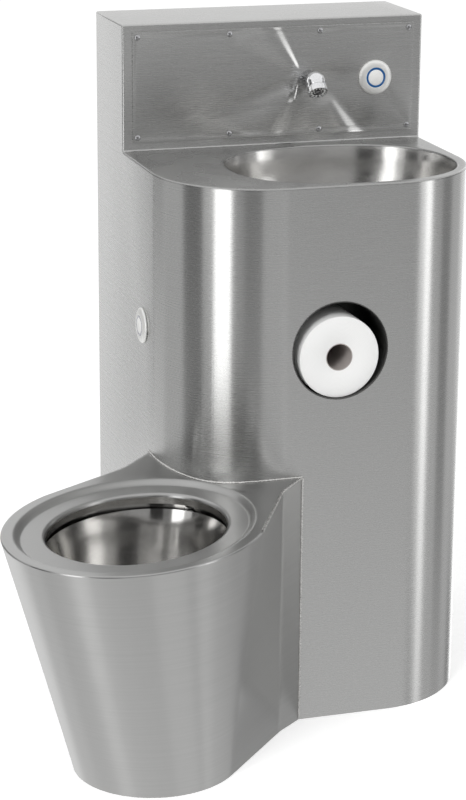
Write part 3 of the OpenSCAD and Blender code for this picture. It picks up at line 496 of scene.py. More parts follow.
def makeBodyShell():
    sheet = skin["sheet"]
    line = cabinetLine(0, 0)[1:-1]
    wall = loft([[(x, y, z) for x, y in line] for z in (0, skin["counter"] - skin["fold"])])
    shell = makePiece("bodyShell", joinParts(wall, flankFace(-1), flankFace(1)), away=(0, -250, 400))
    thicken(shell, sheet)
    passages = [rod(r, skin["passageLong"], panPlace @ at(0, 0, z, facingRight))
                for r, z in skin["passages"]]
    cutAway(shell, rod(niche["r"] + niche["sheet"], 30,
                       at(niche["x"], 15 - skin["depth"], niche["z"], facingFront)),
            rod(barrelHole, 20, at(10 - skin["half"], flushButton["y"], flushButton["z"],
                                   facingLeft)),
            *passages)
    smoothByAngle(shell)
    returns = []
    inner = skin["half"] - sheet
    for side in (-1, 1):
        near, far = sorted((side * inner, side * (inner - skin["return"])))
        middle = (near + far) / 2
        returns.append(plate("wallReturn", rectangle(near, far, 0, skin["top"] - skin["fold"]),
                             [circle(middle, z, skin["wallBolt"]) for z in skin["wallBolts"]], sheet,
                             at(0, 0, 0, facingFront)))
        returns.append(plate("floorReturn", rectangle(near, far, -skin["floorReturn"], -sheet),
                             [circle(middle, y, skin["floorBolt"]) for y in skin["floorBolts"]],
                             sheet, at(0, 0, 0)))
    return joinPieces("bodyShell", shell, *returns)


def makeSplashShell():
    fold, front, top, steps = skin["fold"], skin["splash"], skin["top"], skin["foldSteps"]
    foot = (-front - fold, skin["counter"] + fold)
    head = (fold - front, top - fold)
    # points up the front and over the top, each with the way its face looks
    rows = [(p, (foot[0] - p[0], foot[1] - p[1])) for p in arc(foot, fold, -90, 0, steps)]
    rows += [((-front, z), (-fold, 0)) for z in (skin["frameLow"], skin["frameHigh"])]
    rows += [(p, (p[0] - head[0], p[1] - head[1])) for p in arc(head, fold, 180, 90, steps)]
    rows += [((0, top), (0, fold))]
    side = skin["half"] - fold
    turn = [(fold * math.sin(math.radians(90 * i / steps)),
             1 - math.cos(math.radians(90 * i / steps))) for i in range(steps + 1)]
    columns = ([(-side - out, sink) for out, sink in reversed(turn)]
               + [(-skin["frameHalf"], 0), (skin["frameHalf"], 0)]
               + [(side + out, sink) for out, sink in turn])
    points, faces = loft([[(x, p[0] - n[0] * sink, p[1] - n[1] * sink) for x, sink in columns]
                          for p, n in rows])
    # the frame's opening, which the access panel covers
    opening = (steps + 1) * len(columns) + steps + 1
    faces = [face for face in faces if face[0] != opening]
    shell = makePiece("splashShell", (points, faces), away=(0, -80, 900))
    thicken(shell, skin["sheet"])
    cutAway(shell, *[rod(panel["insertHole"], 12, at(x, 7 - front, z, facingFront), 24)
                     for x, z in panelHoles])
    return smoothByAngle(shell)


def fillFlat(outline, hole, z):
    # flat sheet between two outlines, as loose faces at height z
    shape = bmesh.new()
    edges = []
    for line in (outline, hole):
        verts = [shape.verts.new((x, y, z)) for x, y in line]
        edges += [shape.edges.new((verts[i - 1], verts[i])) for i in range(len(verts))]
    bmesh.ops.triangle_fill(shape, use_beauty=True, use_dissolve=False, edges=edges)
    shape.verts.index_update()
    parts = ([tuple(v.co) for v in shape.verts],
             [tuple(v.index for v in f.verts) for f in shape.faces])
    shape.free()
    return parts


def basinRing(out, z):
    line = superellipse(basin["a"] + out, basin["b"] + out, basin["square"], basin["steps"])
    return [(basin["x"] + x, basin["y"] + y, z) for x, y in line]


def makeCounterPlate():
    fold, top, sheet = skin["fold"], skin["counter"], skin["sheet"]
    rear = -skin["splash"] - fold
    flatFrom = fold + 4
    turn = arc((0, 0), fold, 0, 90, skin["foldSteps"])[1:]
    rim = [(0, top - fold)] + [(fold - x, top - fold + z) for x, z in turn] + [(flatFrom, top)]
    edge = loft([[(x, y, z) for x, y in cabinetLine(inset, rear)] for inset, z in rim])
    lip = loft([basinRing(out, z) for out, z in rim], closed=True)
    flat = fillFlat(cabinetLine(flatFrom, rear), [p[:2] for p in basinRing(flatFrom, 0)], top)
    counter = makePiece("counterPlate", joinParts(edge, lip, flat), away=(0, -300, 300))
    smoothByAngle(thicken(counter, sheet))
    half = skin["half"] - sheet
    shelf = plate("shelf", rectangle(-half, half, sheet - skin["splash"], -sheet),
                  [circle(flushPipe["x"], flushPipe["y"], flushPipe["hole"])], sheet,
                  at(0, 0, top - sheet))
    return joinPieces("counterPlate", counter, shelf)


def bowlShape(rows, x, y, steps):
    # rows are half length, half width, squareness, shift along X and height
    return loft([[(x + shift + px, y + py, z) for px, py in superellipse(a, b, n, steps)]
                 for a, b, n, shift, z in rows], closed=True)


def makeBasinBowl():
    # shares of the way down and of the narrowing
    shares = [(0, 0), (0.085, 0.022), (0.34, 0.07), (0.62, 0.17), (0.84, 0.355), (0.94, 0.64), (1, 1)]
    a, b, square, seat = basin["a"], basin["b"], basin["square"], basin["seat"]
    top = skin["counter"] - skin["fold"]
    floor = skin["counter"] - skin["sheet"] - basin["deep"]
    rows = [[a - narrow * (a - seat), b - narrow * (b - seat), square - narrow * (square - 2), 0,
             top - down * (top - floor)] for down, narrow in shares]
    rows = smoothRows(rows, 9) + [[basin["hole"], basin["hole"], 2, 0, floor]]
    bowl = makePiece("basinBowl", bowlShape(rows, basin["x"], basin["y"], basin["steps"]),
                     toward=(basin["x"], basin["y"], 900))
    return smoothByAngle(thicken(bowl, basin["sheet"]), 50)


# The pan's own frame: +X runs out along its axis, +Y to its right side
pan = {"turn": 42.3, "rootIn": 65, "neck": 134, "footNeck": 126, "height": 400, "sheet": 2,
       "mid": 300, "rimA": 227, "rimB": 183.5, "foldTop": 79, "foldFoot": 60, "noseMid": 235,
       "noseA": 133, "creaseTop": 249, "creaseFoot": 238, "recessA": 205, "recessB": 160,
       "recessDeep": 8, "recessRise": 7, "bowlA": 158, "bowlB": 124, "bowlBack": 4, "bowlSheet": 1.2,
       "lip": 14, "channel": 22, "channelDeep": 24, "roll": 6, "edge": 2.5, "steps": 120,
       "foldCut": 9, "creaseCut": 4, "skirtSteps": 24, "deckSteps": 288, "outletR": 49,
       "outletZ": 150, "outletBack": 15, "dip": 8, "dipFrom": 150, "dipOver": 80, "dipHalf": 120}
rootBack = (skin["corner"] - pan["rootIn"]) / math.sqrt(2)
panPlace = (Matrix.Translation((skin["corner"] - skin["half"] - rootBack,
                                skin["corner"] - skin["depth"] - rootBack, 0))
            @ Matrix.Rotation(math.radians(-90 - pan["turn"]), 4, "Z"))


def meets(w, flank):
    # where the line at side distance w meets the cabinet's left flank or its front
    root = panPlace.translation
    s, c = math.sin(math.radians(pan["turn"])), math.cos(math.radians(pan["turn"]))
    return (root.x + skin["half"] + c * w) / s if flank else (root.y + skin["depth"] - s * w) / c


def roundCorner(points, index, cut, steps=6):
    # replaces one corner of a line by a short curve
    v = points[index]
    ends = []
    for other in (points[index - 1], points[index + 1]):
        t = min(cut / math.dist(v, other), 0.45)
        ends.append([v[k] + (other[k] - v[k]) * t for k in (0, 1)])
    curve = []
    for i in range(steps + 1):
        t = i / steps
        curve.append(tuple((1 - t) ** 2 * ends[0][k] + 2 * t * (1 - t) * v[k] + t * t * ends[1][k]
                           for k in (0, 1)))
    return points[:index] + curve + points[index + 1:]


def panLine(fold, foldB, mid, a, b, crease):
    turn = math.acos((crease - mid) / a)
    neck = pan["neck"]
    line = [(meets(-neck, True), -neck), (fold, -foldB)]
    for i in range(pan["steps"] + 1):
        t = -turn + 2 * turn * i / pan["steps"]
        line.append((mid + a * math.cos(t), b * math.sin(t)))
    line += [(fold, foldB), (meets(neck, False), neck)]
    last = len(line) - 1
    atFold, atCrease = pan["foldCut"], pan["creaseCut"]
    for index, cut in ((last - 1, atFold), (last - 2, atCrease), (2, atCrease), (1, atFold)):
        line = roundCorner(line, index, cut)
    return line


def panTop():
    return panLine(pan["foldTop"], pan["neck"], pan["mid"], pan["rimA"], pan["rimB"],
                   pan["creaseTop"])


def panFoot():
    return panLine(pan["foldFoot"], pan["footNeck"], pan["noseMid"], pan["noseA"],
                   pan["footNeck"] - 1, pan["creaseFoot"])


def makePanSkirt():
    height = pan["height"] - pan["edge"]
    rows = []
    for j in range(pan["skirtSteps"] + 1):
        t = j / pan["skirtSteps"]
        rows.append([(f[0] + (p[0] - f[0]) * t, f[1] + (p[1] - f[1]) * t, height * t)
                     for f, p in zip(panFoot(), panTop())])
    skirt = makePiece("panSkirt", loft(rows), panPlace, away=panPlace @ Vector((200, 0, 200)))
    return smoothByAngle(thicken(skirt, pan["sheet"]), 30)


def deckHeight(s, w):
    # the deck sinks a little towards the middle of its joint with the cabinet
    dip = smooth((pan["dipFrom"] - s) / pan["dipOver"]) * smooth(1 - abs(w) / pan["dipHalf"])
    return pan["height"] - pan["dip"] * dip


def rayLength(angle, outline):
    # distance from the bowl's middle to the outline
    dx, dy = math.cos(angle), math.sin(angle)
    best = None
    for i in range(len(outline)):
        (ax, ay), (bx, by) = outline[i - 1], outline[i]
        ax, bx = ax - pan["mid"], bx - pan["mid"]
        ex, ey = bx - ax, by - ay
        cross = dx * ey - dy * ex
        if abs(cross) < 1e-9:
            continue
        t = (ax * ey - ay * ex) / cross
        u = (ax * dy - ay * dx) / cross
        if t > 0 and -1e-6 <= u <= 1 + 1e-6 and (best is None or t < best):
            best = t
    return best


def ovalLength(angle, a, b):
    return a * b / math.hypot(b * math.cos(angle), a * math.sin(angle))


def jointLine():
    # the cabinet's outline from the pan's right tip back to its left tip, in the pan's frame
    back = panPlace.inverted()
    left = panPlace @ Vector((meets(-pan["neck"], True), -pan["neck"], 0))
    right = panPlace @ Vector((meets(pan["neck"], False), pan["neck"], 0))
    corner = skin["corner"]
    bend = arc((corner - skin["half"], corner - skin["depth"]), corner, 270, 180, 40)
    points = [right[:2]] + bend + [left[:2]]
    return [tuple((back @ Vector((x, y, 0)))[:2]) for x, y in points]


def makePanDeck():
    top, joint = panTop(), jointLine()
    outline = top + joint[1:-1]
    count, mid, height, edge = pan["deckSteps"], pan["mid"], pan["height"], pan["edge"]
    tips = [math.atan2(p[1], p[0] - mid) % (2 * math.pi) for p in (top[0], top[-1])]
    angles = sorted(set(fullTurn(count) + tips))
    onJoint = [min(tips) - 1e-6 <= t <= max(tips) + 1e-6 for t in angles]
    far = [rayLength(t, outline) for t in angles]
    seat, rise = height - pan["recessDeep"], pan["recessRise"]
    rows = []

    def oval(middle, out, z, a, b):
        rows.append([(middle + ovalLength(t, a + out, b + out) * math.cos(t),
                      ovalLength(t, a + out, b + out) * math.sin(t), z) for t in angles])

    for x, z in arc((pan["roll"], -pan["roll"]), pan["roll"], 180, 90, 6):
        oval(mid - pan["bowlBack"], x, seat + z, pan["bowlA"], pan["bowlB"])
    for i in range(13):
        oval(mid, -rise + 2 * rise * (i / 12), seat + pan["recessDeep"] * smooth(i / 12),
             pan["recessA"], pan["recessB"])
    # the flat deck out to the rim and the cabinet
    for i in range(1, 9):
        row = []
        for k, t in enumerate(angles):
            inner = ovalLength(t, pan["recessA"] + rise, pan["recessB"] + rise)
            r = inner + (far[k] - (0 if onJoint[k] else edge) - inner) * i / 8
            s, w = mid + r * math.cos(t), r * math.sin(t)
            row.append((s, w, deckHeight(s, w)))
        rows.append(row)
    # the rim's rounded edge, which ends where the joint begins
    for i in range(1, 6):
        a = math.radians(18 * i)
        row = []
        for k, t in enumerate(angles):
            r = far[k] - edge * (1 - math.sin(a))
            row.append(rows[-1][k] if onJoint[k] else
                       (mid + r * math.cos(t), r * math.sin(t), height - edge * (1 - math.cos(a))))
        rows.append(row)
    deck = makePiece("panDeck", loft(rows, closed=True), panPlace,
                     away=panPlace @ Vector((300, 0, -2000)))
    return smoothByAngle(thicken(deck, pan["sheet"]), 50)


def makePanBowl():
    # shares of the way down, of the narrowing and of the shift towards the outlet
    shares = [(0, -0.05, 0), (0.09, 0, 0), (0.3, 0.1, 0), (0.53, 0.3, 0.25), (0.74, 0.565, 0.25),
              (0.9, 0.89, 1), (1, 1, 1)]
    a, b, outlet = pan["bowlA"], pan["bowlB"], pan["outletR"]
    under = pan["height"] - pan["recessDeep"] - pan["sheet"]
    channelZ = under - pan["channelDeep"]
    middle = pan["mid"] - pan["bowlBack"]
    wide = [a + pan["channel"], b + pan["channel"], 2, middle]
    rows = [[a - narrow * (a - outlet), b - narrow * (b - outlet), 2,
             middle - shift * pan["outletBack"], channelZ - down * (channelZ - pan["outletZ"])]
            for down, narrow, shift in shares]
    rows = [wide + [under - 0.5], wide + [channelZ]] + smoothRows(rows, 9)
    bowl = makePiece("panBowl", bowlShape(rows, 0, 0, 128), panPlace,
                     toward=panPlace @ Vector((300, 0, 420)))
    return smoothByAngle(thicken(bowl, pan["bowlSheet"]), 50)


def makeRimLip():
    # hangs from the deck's rolled edge
    seat = pan["height"] - pan["recessDeep"]
    top, foot = seat - pan["roll"], seat - pan["sheet"] - pan["lip"]
    line = superellipse(pan["bowlA"], pan["bowlB"], 2, 144)
    rows = [[(pan["mid"] - pan["bowlBack"] + x, y, top + (foot - top) * t) for x, y in line]
            for t in (0, 0.25, 0.5, 0.75, 1)]
    lip = makePiece("rimLip", loft(rows, closed=True), panPlace,
                    toward=panPlace @ Vector((300, 0, 380)))
    return smoothByAngle(thicken(lip, pan["bowlSheet"]))


finishPiece(makeBodyShell(), groundSteel, "cabinet", "satin_steel", "body_wrap")
finishPiece(makeSplashShell(), groundSteel, "cabinet", "satin_steel", "splash_box")
finishPiece(makeCounterPlate(), counterShadedSteel, "cabinet", "satin_steel", "counter_top")
finishPiece(makeBasinBowl(), buffedSteel, "cabinet", "polished_steel", "basin_bowl")
print("cabinet skin made")
finishPiece(makePanSkirt(), panSteel, "cabinet", "satin_steel", "pan_skirt")
finishPiece(makePanDeck(), panSteel, "cabinet", "satin_steel", "pan_deck")
finishPiece(makePanBowl(), brightSteel, "cabinet", "polished_steel", "pan_bowl")
finishPiece(makeRimLip(), buffedSteel, "cabinet", "polished_steel", "flushing_rim")
print("pan made")


# Geometry Nodes trees for what follows a path or repeats
def startTree(name, **inputs):
    # gives the tree and its input sockets, named as given, with the geometry and the finish
    tree = bpy.data.node_groups.new(name, "GeometryNodeTree")
    for label, kind in {"Geometry": "Geometry", **inputs, "Finish": "Material"}.items():
        tree.interface.new_socket(label, in_out="INPUT", socket_type="NodeSocket" + kind)
    tree.interface.new_socket("Geometry", in_out="OUTPUT", socket_type="NodeSocketGeometry")
    return tree, addNode(tree, "NodeGroupInput").outputs


def endTree(tree, given, made):
    real = addNode(tree, "GeometryNodeRealizeInstances", {"Geometry": made})
    coated = addNode(tree, "GeometryNodeSetMaterial", {"Geometry": real, "Material": given["Finish"]})
    addNode(tree, "NodeGroupOutput", {"Geometry": coated})
    return tree


def growTree(obj, tree, **values):
    # runs a tree on an object and keeps the plain mesh
    grow = addModifier(obj, "NODES", node_group=tree)
    for item in tree.interface.items_tree:
        if item.in_out == "INPUT" and item.name in values:
            grow[item.identifier] = values[item.name]
    return settle(obj)


# Weld beads, drawn along a path with an uneven thickness
bead = {"radius": 2.2, "uneven": 0.8, "ripple": 3.0, "seed": 7.0, "rimPoints": 14}


def weldTree():
    tree, given = startTree("weldBead", Radius="Float", Uneven="Float", Ripple="Float", Seed="Float")
    path = addNode(tree, "GeometryNodeMeshToCurve", {"Mesh": given["Geometry"]})
    even = addNode(tree, "GeometryNodeResampleCurve", {"Curve": path, "Length": given["Ripple"]},
                   mode="LENGTH")
    place = addNode(tree, "GeometryNodeInputPosition")
    # lumps about 8 mm long, on a mean radius close to the given one
    noise = addNode(tree, "ShaderNodeTexNoise", {"Vector": place, "W": given["Seed"], "Scale": 120.0},
                    noise_dimensions="4D")
    swing = addNode(tree, "ShaderNodeMath", {0: noise, 1: given["Uneven"], 2: 0.65},
                    operation="MULTIPLY_ADD")
    radius = addNode(tree, "ShaderNodeMath", {0: swing, 1: given["Radius"]}, operation="MULTIPLY")
    profile = addNode(tree, "GeometryNodeCurvePrimitiveCircle", {"Resolution": 10, "Radius": 1.0})
    sweep = addNode(tree, "GeometryNodeCurveToMesh",
                    {"Curve": even, "Profile Curve": profile, "Scale": radius, "Fill Caps": True})
    return endTree(tree, given, sweep)


def makeWeld():
    joint = jointLine()
    lines = [[(s, w, deckHeight(s, w) + 0.4) for s, w in joint]]
    for s, w in (joint[0], joint[-1]):
        lines.append([(s, w, z) for z in (2, 100, 200, 300, pan["height"])])
    # the bead runs on along the rim where the pan leaves the cabinet's front
    lines.append([(s, w * 0.995, deckHeight(s, w) - 0.6) for s, w in panTop()[-bead["rimPoints"]:]])
    points, edges = [], []
    for line in lines:
        base = len(points)
        points += [(panPlace @ Vector(p)) * mm for p in line]
        edges += [(base + i, base + i + 1) for i in range(len(line) - 1)]
    mesh = bpy.data.meshes.new("panWeld")
    mesh.from_pydata(points, edges, [])
    weld = growTree(addObject("panWeld", mesh), weldTree(), Radius=bead["radius"] * mm,
                    Uneven=bead["uneven"], Ripple=bead["ripple"] * mm, Seed=bead["seed"],
                    Finish=weldMetal)
    return smoothByAngle(weld, 60)


finishPiece(makeWeld(), weldMetal, "cabinet", "satin_steel")


# Access panel with its screws
spout = {"x": 56, "z": 955, "tail": 10.4, "tailLong": 53, "bore": 7, "tube": 13.5, "reach": 35,
         "ball": 15.5, "tilt": 42, "neck": 14.75, "seam": 11, "gap": 0.8, "collar": 15.5,
         "collarLong": 10, "teeth": 12, "teethAt": 10.9, "toothLong": 3.2, "toothWide": 2.2,
         "toothLow": 1.8, "toothTop": 0.5}
screw = {"head": 4.75, "rim": 0.35, "dome": 2.3, "shank": 2.5, "long": 13, "socket": 1.95,
         "socketTop": 2.6, "socketFoot": 0.9, "steps": 36}

accessPanel = plate(
    "accessPanel", rectangle(-panel["width"] / 2, panel["width"] / 2, panel["low"],
                             panel["low"] + panel["height"]),
    [circle(x, z, panel["screwHole"], 24) for x, z in panelHoles]
    + [circle(spout["x"], spout["z"], spout["tail"] + 0.05),
       circle(washButton["x"], washButton["z"], barrelHole)],
    panel["thick"], at(0, -panel["back"], 0, facingFront), 0.4)
finishPiece(accessPanel, panelSteel, "cabinet", "satin_steel", "access_panel")


def hexagon(r, z, steps):
    row = []
    for a in fullTurn(steps):
        reach = r * math.cos(math.pi / 6) / math.cos((a % (math.pi / 3)) - math.pi / 6)
        row.append((reach * math.cos(a), reach * math.sin(a), z))
    return row


def screwShape():
    # button head with a hexagon socket, and its shank; z 0 is under the head
    head, shank, low, socket = screw["head"], screw["shank"], -screw["long"], screw["socket"]
    profile = [(0, low), (shank - 0.5, low), (shank, low + 0.6), (shank, 0), (head - 0.25, 0),
               (head, 0.25)]
    profile += [(head * math.cos(a), screw["rim"] + screw["dome"] * math.sin(a))
                for a in (math.radians(v) for v in (0, 12, 24, 36, 48, 60))]
    rows = [ring(r, z, screw["steps"]) for r, z in profile]
    top, foot = screw["socketTop"], screw["socketFoot"]
    rows += [hexagon(r, z, screw["steps"])
             for r, z in ((socket, top), (socket - 0.2, top - 0.15), (socket - 0.25, foot))]
    return loft(rows + [ring(0, foot - 0.3, screw["steps"])], closed=True)


def screwTree():
    tree, given = startTree("panelScrews", Pitch="Float", Rise="Float")
    row = addNode(tree, "ShaderNodeMath", {0: given["Pitch"], 1: 3.0}, operation="MULTIPLY")
    grid = addNode(tree, "GeometryNodeMeshGrid",
                   {"Size X": row, "Size Y": given["Rise"], "Vertices X": 4, "Vertices Y": 2})
    points = addNode(tree, "GeometryNodeMeshToPoints", {"Mesh": grid})
    put = addNode(tree, "GeometryNodeInstanceOnPoints",
                  {"Points": points, "Instance": given["Geometry"]})
    return endTree(tree, given, put)


def makeScrews():
    xs, zs = panel["screwXs"], panel["screwZs"]
    screws = growTree(makePiece("panelScrews", screwShape()), screwTree(), Pitch=(xs[1] - xs[0]) * mm,
                      Rise=(zs[1] - zs[0]) * mm, Finish=screwShadedSteel)
    screws.data.transform(inMetres(at(0, -skin["face"], sum(zs) / 2, facingFront)))
    return smoothByAngle(screws, 35)


finishPiece(makeScrews(), screwShadedSteel, "cabinet", "screw_steel", "panel_screws")
print("panel made")


# Spout: a straight tube, a ball that turns it down, and a screwed collar round the aerator
spoutPlace = at(spout["x"], -skin["face"], spout["z"], facingFront)
# from the ball's middle along the nozzle
nozzlePlace = spoutPlace @ at(0, 0, spout["reach"],
                              Matrix.Rotation(math.radians(90 - spout["tilt"]), 4, "X"))


def makeSpout():
    r, tail, bore, back = spout["tube"], spout["tail"], spout["bore"], -spout["tailLong"]
    tube = [(bore, back), (tail - 0.6, back), (tail, back + 0.6), (tail, 0), (r - 0.4, 0), (r, 0.4),
            (r, spout["reach"]), (bore, spout["reach"]), (bore, back)]
    ball, neck, seam = spout["ball"], spout["neck"], spout["seam"]
    low = seam + spout["gap"]
    meet = math.sqrt(ball * ball - neck * neck)
    elbow = [(0, -ball)] + arc((0, 0), ball, -86, math.degrees(math.asin(meet / ball)), 26)
    elbow += [(neck, seam - 0.5), (neck - 0.4, seam), (ball - 2, seam), (ball - 2, low), (bore, low),
              (bore, 0), (0, 0)]
    out, high = spout["collar"], low + spout["collarLong"]
    inner = out - 2.5
    collar = [(inner, low), (out - 0.5, low), (out, low + 0.5), (out, high - 0.7), (out - 0.7, high),
              (inner + 0.3, high), (inner, high - 0.3), (inner, low)]
    # rings and steps of the aerator's mouth, by radius and depth under the collar's end
    mouth = [(inner, 1.6), (inner - 1, 1.6), (inner - 1, 2.4), (9, 2.4), (9, 1.2), (8, 1.2), (8, 2.4),
             (4.5, 2.4), (4.5, 1.2), (3.5, 1.2), (3.5, 2.4), (0, 2.4)]
    face = [(0, low), (inner, low)] + [(x, high - deep) for x, deep in mouth]
    for name, profile, steps, place, material, slot, node in (
            ("spoutTube", tube, 96, spoutPlace, satinShadedChrome, "chrome_plate", "spout_body"),
            ("spoutElbow", elbow, 128, nozzlePlace, brightChrome, "chrome_plate", "spout_body"),
            ("aeratorCollar", collar, 128, nozzlePlace, brightChrome, "chrome_plate", "spout_aerator"),
            ("aeratorFace", face, 72, nozzlePlace, blackNylon, "barrel_plastic", "spout_aerator")):
        piece = smoothByAngle(makePiece(name, lathe(profile, steps), place), 40)
        finishPiece(piece, material, "cabinet", slot, node)


def teethTree():
    # key notches round the aerator, one tooth to each point of a circle
    tree, given = startTree("aeratorTeeth", Teeth="Int", Radius="Float")
    points = addNode(tree, "GeometryNodeMeshCircle",
                     {"Vertices": given["Teeth"], "Radius": given["Radius"]})
    place = addNode(tree, "GeometryNodeInputPosition")
    turned = addNode(tree, "FunctionNodeAlignRotationToVector", {"Vector": place}, axis="X")
    put = addNode(tree, "GeometryNodeInstanceOnPoints",
                  {"Points": points, "Instance": given["Geometry"], "Rotation": turned})
    return endTree(tree, given, put)


def makeTeeth():
    high = spout["seam"] + spout["gap"] + spout["collarLong"]
    long, wide = spout["toothLong"] / 2, spout["toothWide"] / 2
    points = [(x, y, z) for z in (high - spout["toothLow"], high - spout["toothTop"])
              for x, y in rectangle(-long, long, -wide, wide)]
    faces = [(3, 2, 1, 0), (4, 5, 6, 7), (0, 1, 5, 4), (1, 2, 6, 5), (2, 3, 7, 6), (3, 0, 4, 7)]
    teeth = growTree(makePiece("aeratorTeeth", (points, faces)), teethTree(), Teeth=spout["teeth"],
                     Radius=spout["teethAt"] * mm, Finish=capPolycarbonate)
    teeth.data.transform(inMetres(nozzlePlace))
    finishPiece(softEdges(teeth, 0.2), capPolycarbonate, "cabinet", "cap_plastic")


makeSpout()
makeTeeth()
print("spout made")


# Push buttons: a domed bezel, a coloured ring and a flat cap on a stem
button = {"bezel": 28, "dome": 6.5, "hole": 16.05, "ring": 16, "ringIn": 13, "ringLow": 1,
          "cap": 12.8, "capLow": 4, "stem": 4, "stemLow": -12}


def bezelProfile():
    out, hole, top = button["bezel"], button["hole"], button["dome"] - 0.4
    rows = [(hole, 0), (out - 1.2, 0), (out - 0.3, 0.4), (out, 1.2)]
    rows += [(out - 1.2 * t - 9.6 * t * t, 1.2 + (top - 1.2) * math.sin(math.pi / 2 * t) ** 0.9)
             for t in (0.08, 0.2, 0.34, 0.5, 0.66, 0.82, 1.0)]
    return rows + [(hole + 0.5, top - 0.1), (hole + 0.1, top - 0.4), (hole, top - 0.8), (hole, 0)]


def ringProfile():
    out, inner, low, top = button["ring"], button["ringIn"], button["ringLow"], button["dome"] - 0.4
    return [(inner, low), (out, low), (out, top - 0.2), (out - 0.2, top), (inner + 0.2, top),
            (inner, top - 0.2), (inner, low)]


def capProfile():
    r, low, top, stem = button["cap"], button["capLow"], button["dome"] - 0.2, button["stem"]
    foot = button["stemLow"]
    return [(0, foot), (stem - 0.4, foot), (stem, foot + 0.4), (stem, low), (r - 0.3, low),
            (r, low + 0.3), (r, top - 0.6), (r - 0.5, top - 0.1), (0, top)]


def makeButton(label, place, ringMaterial):
    for part, profile, steps, material, body, slot, node in (
            ("BezelDome", bezelProfile(), 128, blastedSteel, "cabinet", "bezel_steel", "_bezel"),
            ("LightRing", ringProfile(), 96, ringMaterial, "cabinet", "ring_plastic", "_ring"),
            ("CapFace", capProfile(), 96, capPolycarbonate, label + "_button", "cap_plastic", "_cap")):
        piece = smoothByAngle(makePiece(label + part, lathe(profile, steps), place), 50)
        finishPiece(piece, material, body, slot, label + node)


makeButton("wash", at(washButton["x"], -skin["face"], washButton["z"], facingFront),
           ringPolycarbonate)
makeButton("flush", at(-skin["half"], flushButton["y"], flushButton["z"], facingLeft), ringClear)
print("buttons made")


# Roll niche and the toilet roll
roll = {"z": 585.3, "r": 63.5, "core": 21, "coreWall": 1, "front": 496, "width": 98}


def makeNiche():
    r, out = niche["r"], niche["r"] + niche["sheet"]
    rear = niche["deep"] - skin["depth"]
    length = niche["deep"] + niche["proud"]
    tube = makePiece("nicheLiner", lathe([(r, 0), (out, 0), (out, length - 0.4), (out - 0.4, length),
                                          (r + 0.5, length), (r, length - 0.6), (r, 0)], 144),
                     at(niche["x"], rear, niche["z"], facingFront))
    finishPiece(smoothByAngle(tube, 50), nicheShadedSteel, "cabinet", "satin_steel", "niche_tube")
    back = plate("nicheBackDisc", circle(0, 0, out, 96), [], niche["sheet"],
                 at(niche["x"], rear + niche["sheet"], niche["z"], facingFront))
    finishPiece(back, nicheShadedSteel, "cabinet", "satin_steel", "niche_back")


def tissue():
    # soft crepe paper: wound layers show as faint rings on the roll's face, and are too thin to
    # show, so the rings are drawn about 2 mm apart
    material, tree, shader = newMaterial("tissueCrepePaper", "F4F4F3", 0.0, 0.9, Sheen_Weight=0.2)
    coords = addNode(tree, "ShaderNodeTexCoord")
    centre = addNode(tree, "ShaderNodeMapping", {"Vector": coords.outputs["Object"],
                                                 "Location": (-niche["x"] * mm, 0, -roll["z"] * mm)})
    layers = addNode(tree, "ShaderNodeTexWave",
                     {"Vector": centre, "Scale": 160.0, "Distortion": 1.2, "Detail": 2.0},
                     wave_type="RINGS", rings_direction="Y")
    ramp = addNode(tree, "ShaderNodeValToRGB", {"Fac": layers.outputs["Fac"]})
    for stop, colour in zip(ramp.color_ramp.elements, ("EBEBEA", "F6F6F5")):
        stop.color = linearColour(colour)
    crepe = addNode(tree, "ShaderNodeBump", {"Height": grainNoise(tree, 1.2, 0.8),
                                             "Distance": 0.15 * mm})
    setInputs(tree, shader, {"Base Color": ramp, "Normal": crepe})
    return material


def makeRoll():
    place = at(niche["x"], roll["width"] - roll["front"], roll["z"], facingFront)
    r, hole, w = roll["r"], roll["core"] + 0.05, roll["width"]
    rim = [(hole, 0), (r - 1.5, 0), (r - 0.4, 0.4), (r, 1.5), (r, w - 1.5), (r - 0.4, w - 0.4),
           (r - 1.5, w), (hole + 0.8, w), (hole, w - 0.5), (hole, 0)]
    paper = smoothByAngle(makePiece("paperRoll", lathe(rim, 128), place), 50)
    finishPiece(paper, tissue(), "roll", "tissue_paper", "roll_paper")
    out, inner = roll["core"], roll["core"] - roll["coreWall"]
    tube = makePiece("cardCore", lathe([(inner, 0), (out, 0), (out, w), (inner, w), (inner, 0)]), place)
    # wound greyboard is dull and a little fibrous
    card = moulded("greyboardWound", "A9A29F", "B5AEAA", 0.9, 1.5, 0.05)
    finishPiece(smoothByAngle(tube, 50), card, "core", "core_card", "roll_core")


makeNiche()
makeRoll()
print("niche and roll made")


# Pieces that keep the frame's shape, with small edge radii and their own materials
def dressNode(node, material, body, slot):
    shape = bmesh.new()
    shape.from_mesh(frame["nodes"][node].data)
    bmesh.ops.remove_doubles(shape, verts=shape.verts, dist=mergeWithin)
    bmesh.ops.dissolve_limit(shape, angle_limit=math.radians(0.8), use_dissolve_boundaries=False,
                             verts=shape.verts, edges=shape.edges)
    first, *others = node.split("_")
    name = first + "".join(word.title() for word in others)
    obj = softEdges(addObject(name, meshFrom(shape, name)), 0.3)
    return finishPiece(obj, material, body, slot, node)


materialFor = {
    "plain_steel": millSteel, "plunger_steel": turnedSteel, "chrome_plate": brightChrome,
    "slip_nut_plastic": greyNylon, "valve_brass": castBrass, "seal_rubber": softRubber,
    "barrel_plastic": blackNylon, "lever_plastic": dippedVinyl, "box_plastic": greyAbs,
    "board_laminate": greenLaminate}
bodyOf = {node: body for body, nodes in frame["record"]["behaviour"]["bodies"].items() for node in nodes}
for part in frame["record"]["subparts"]:
    node, slot = part["node"], part["material_slot"]
    if slot in materialFor:
        dressNode(node, materialFor[slot], bodyOf[node], slot)
print("inner parts dressed")


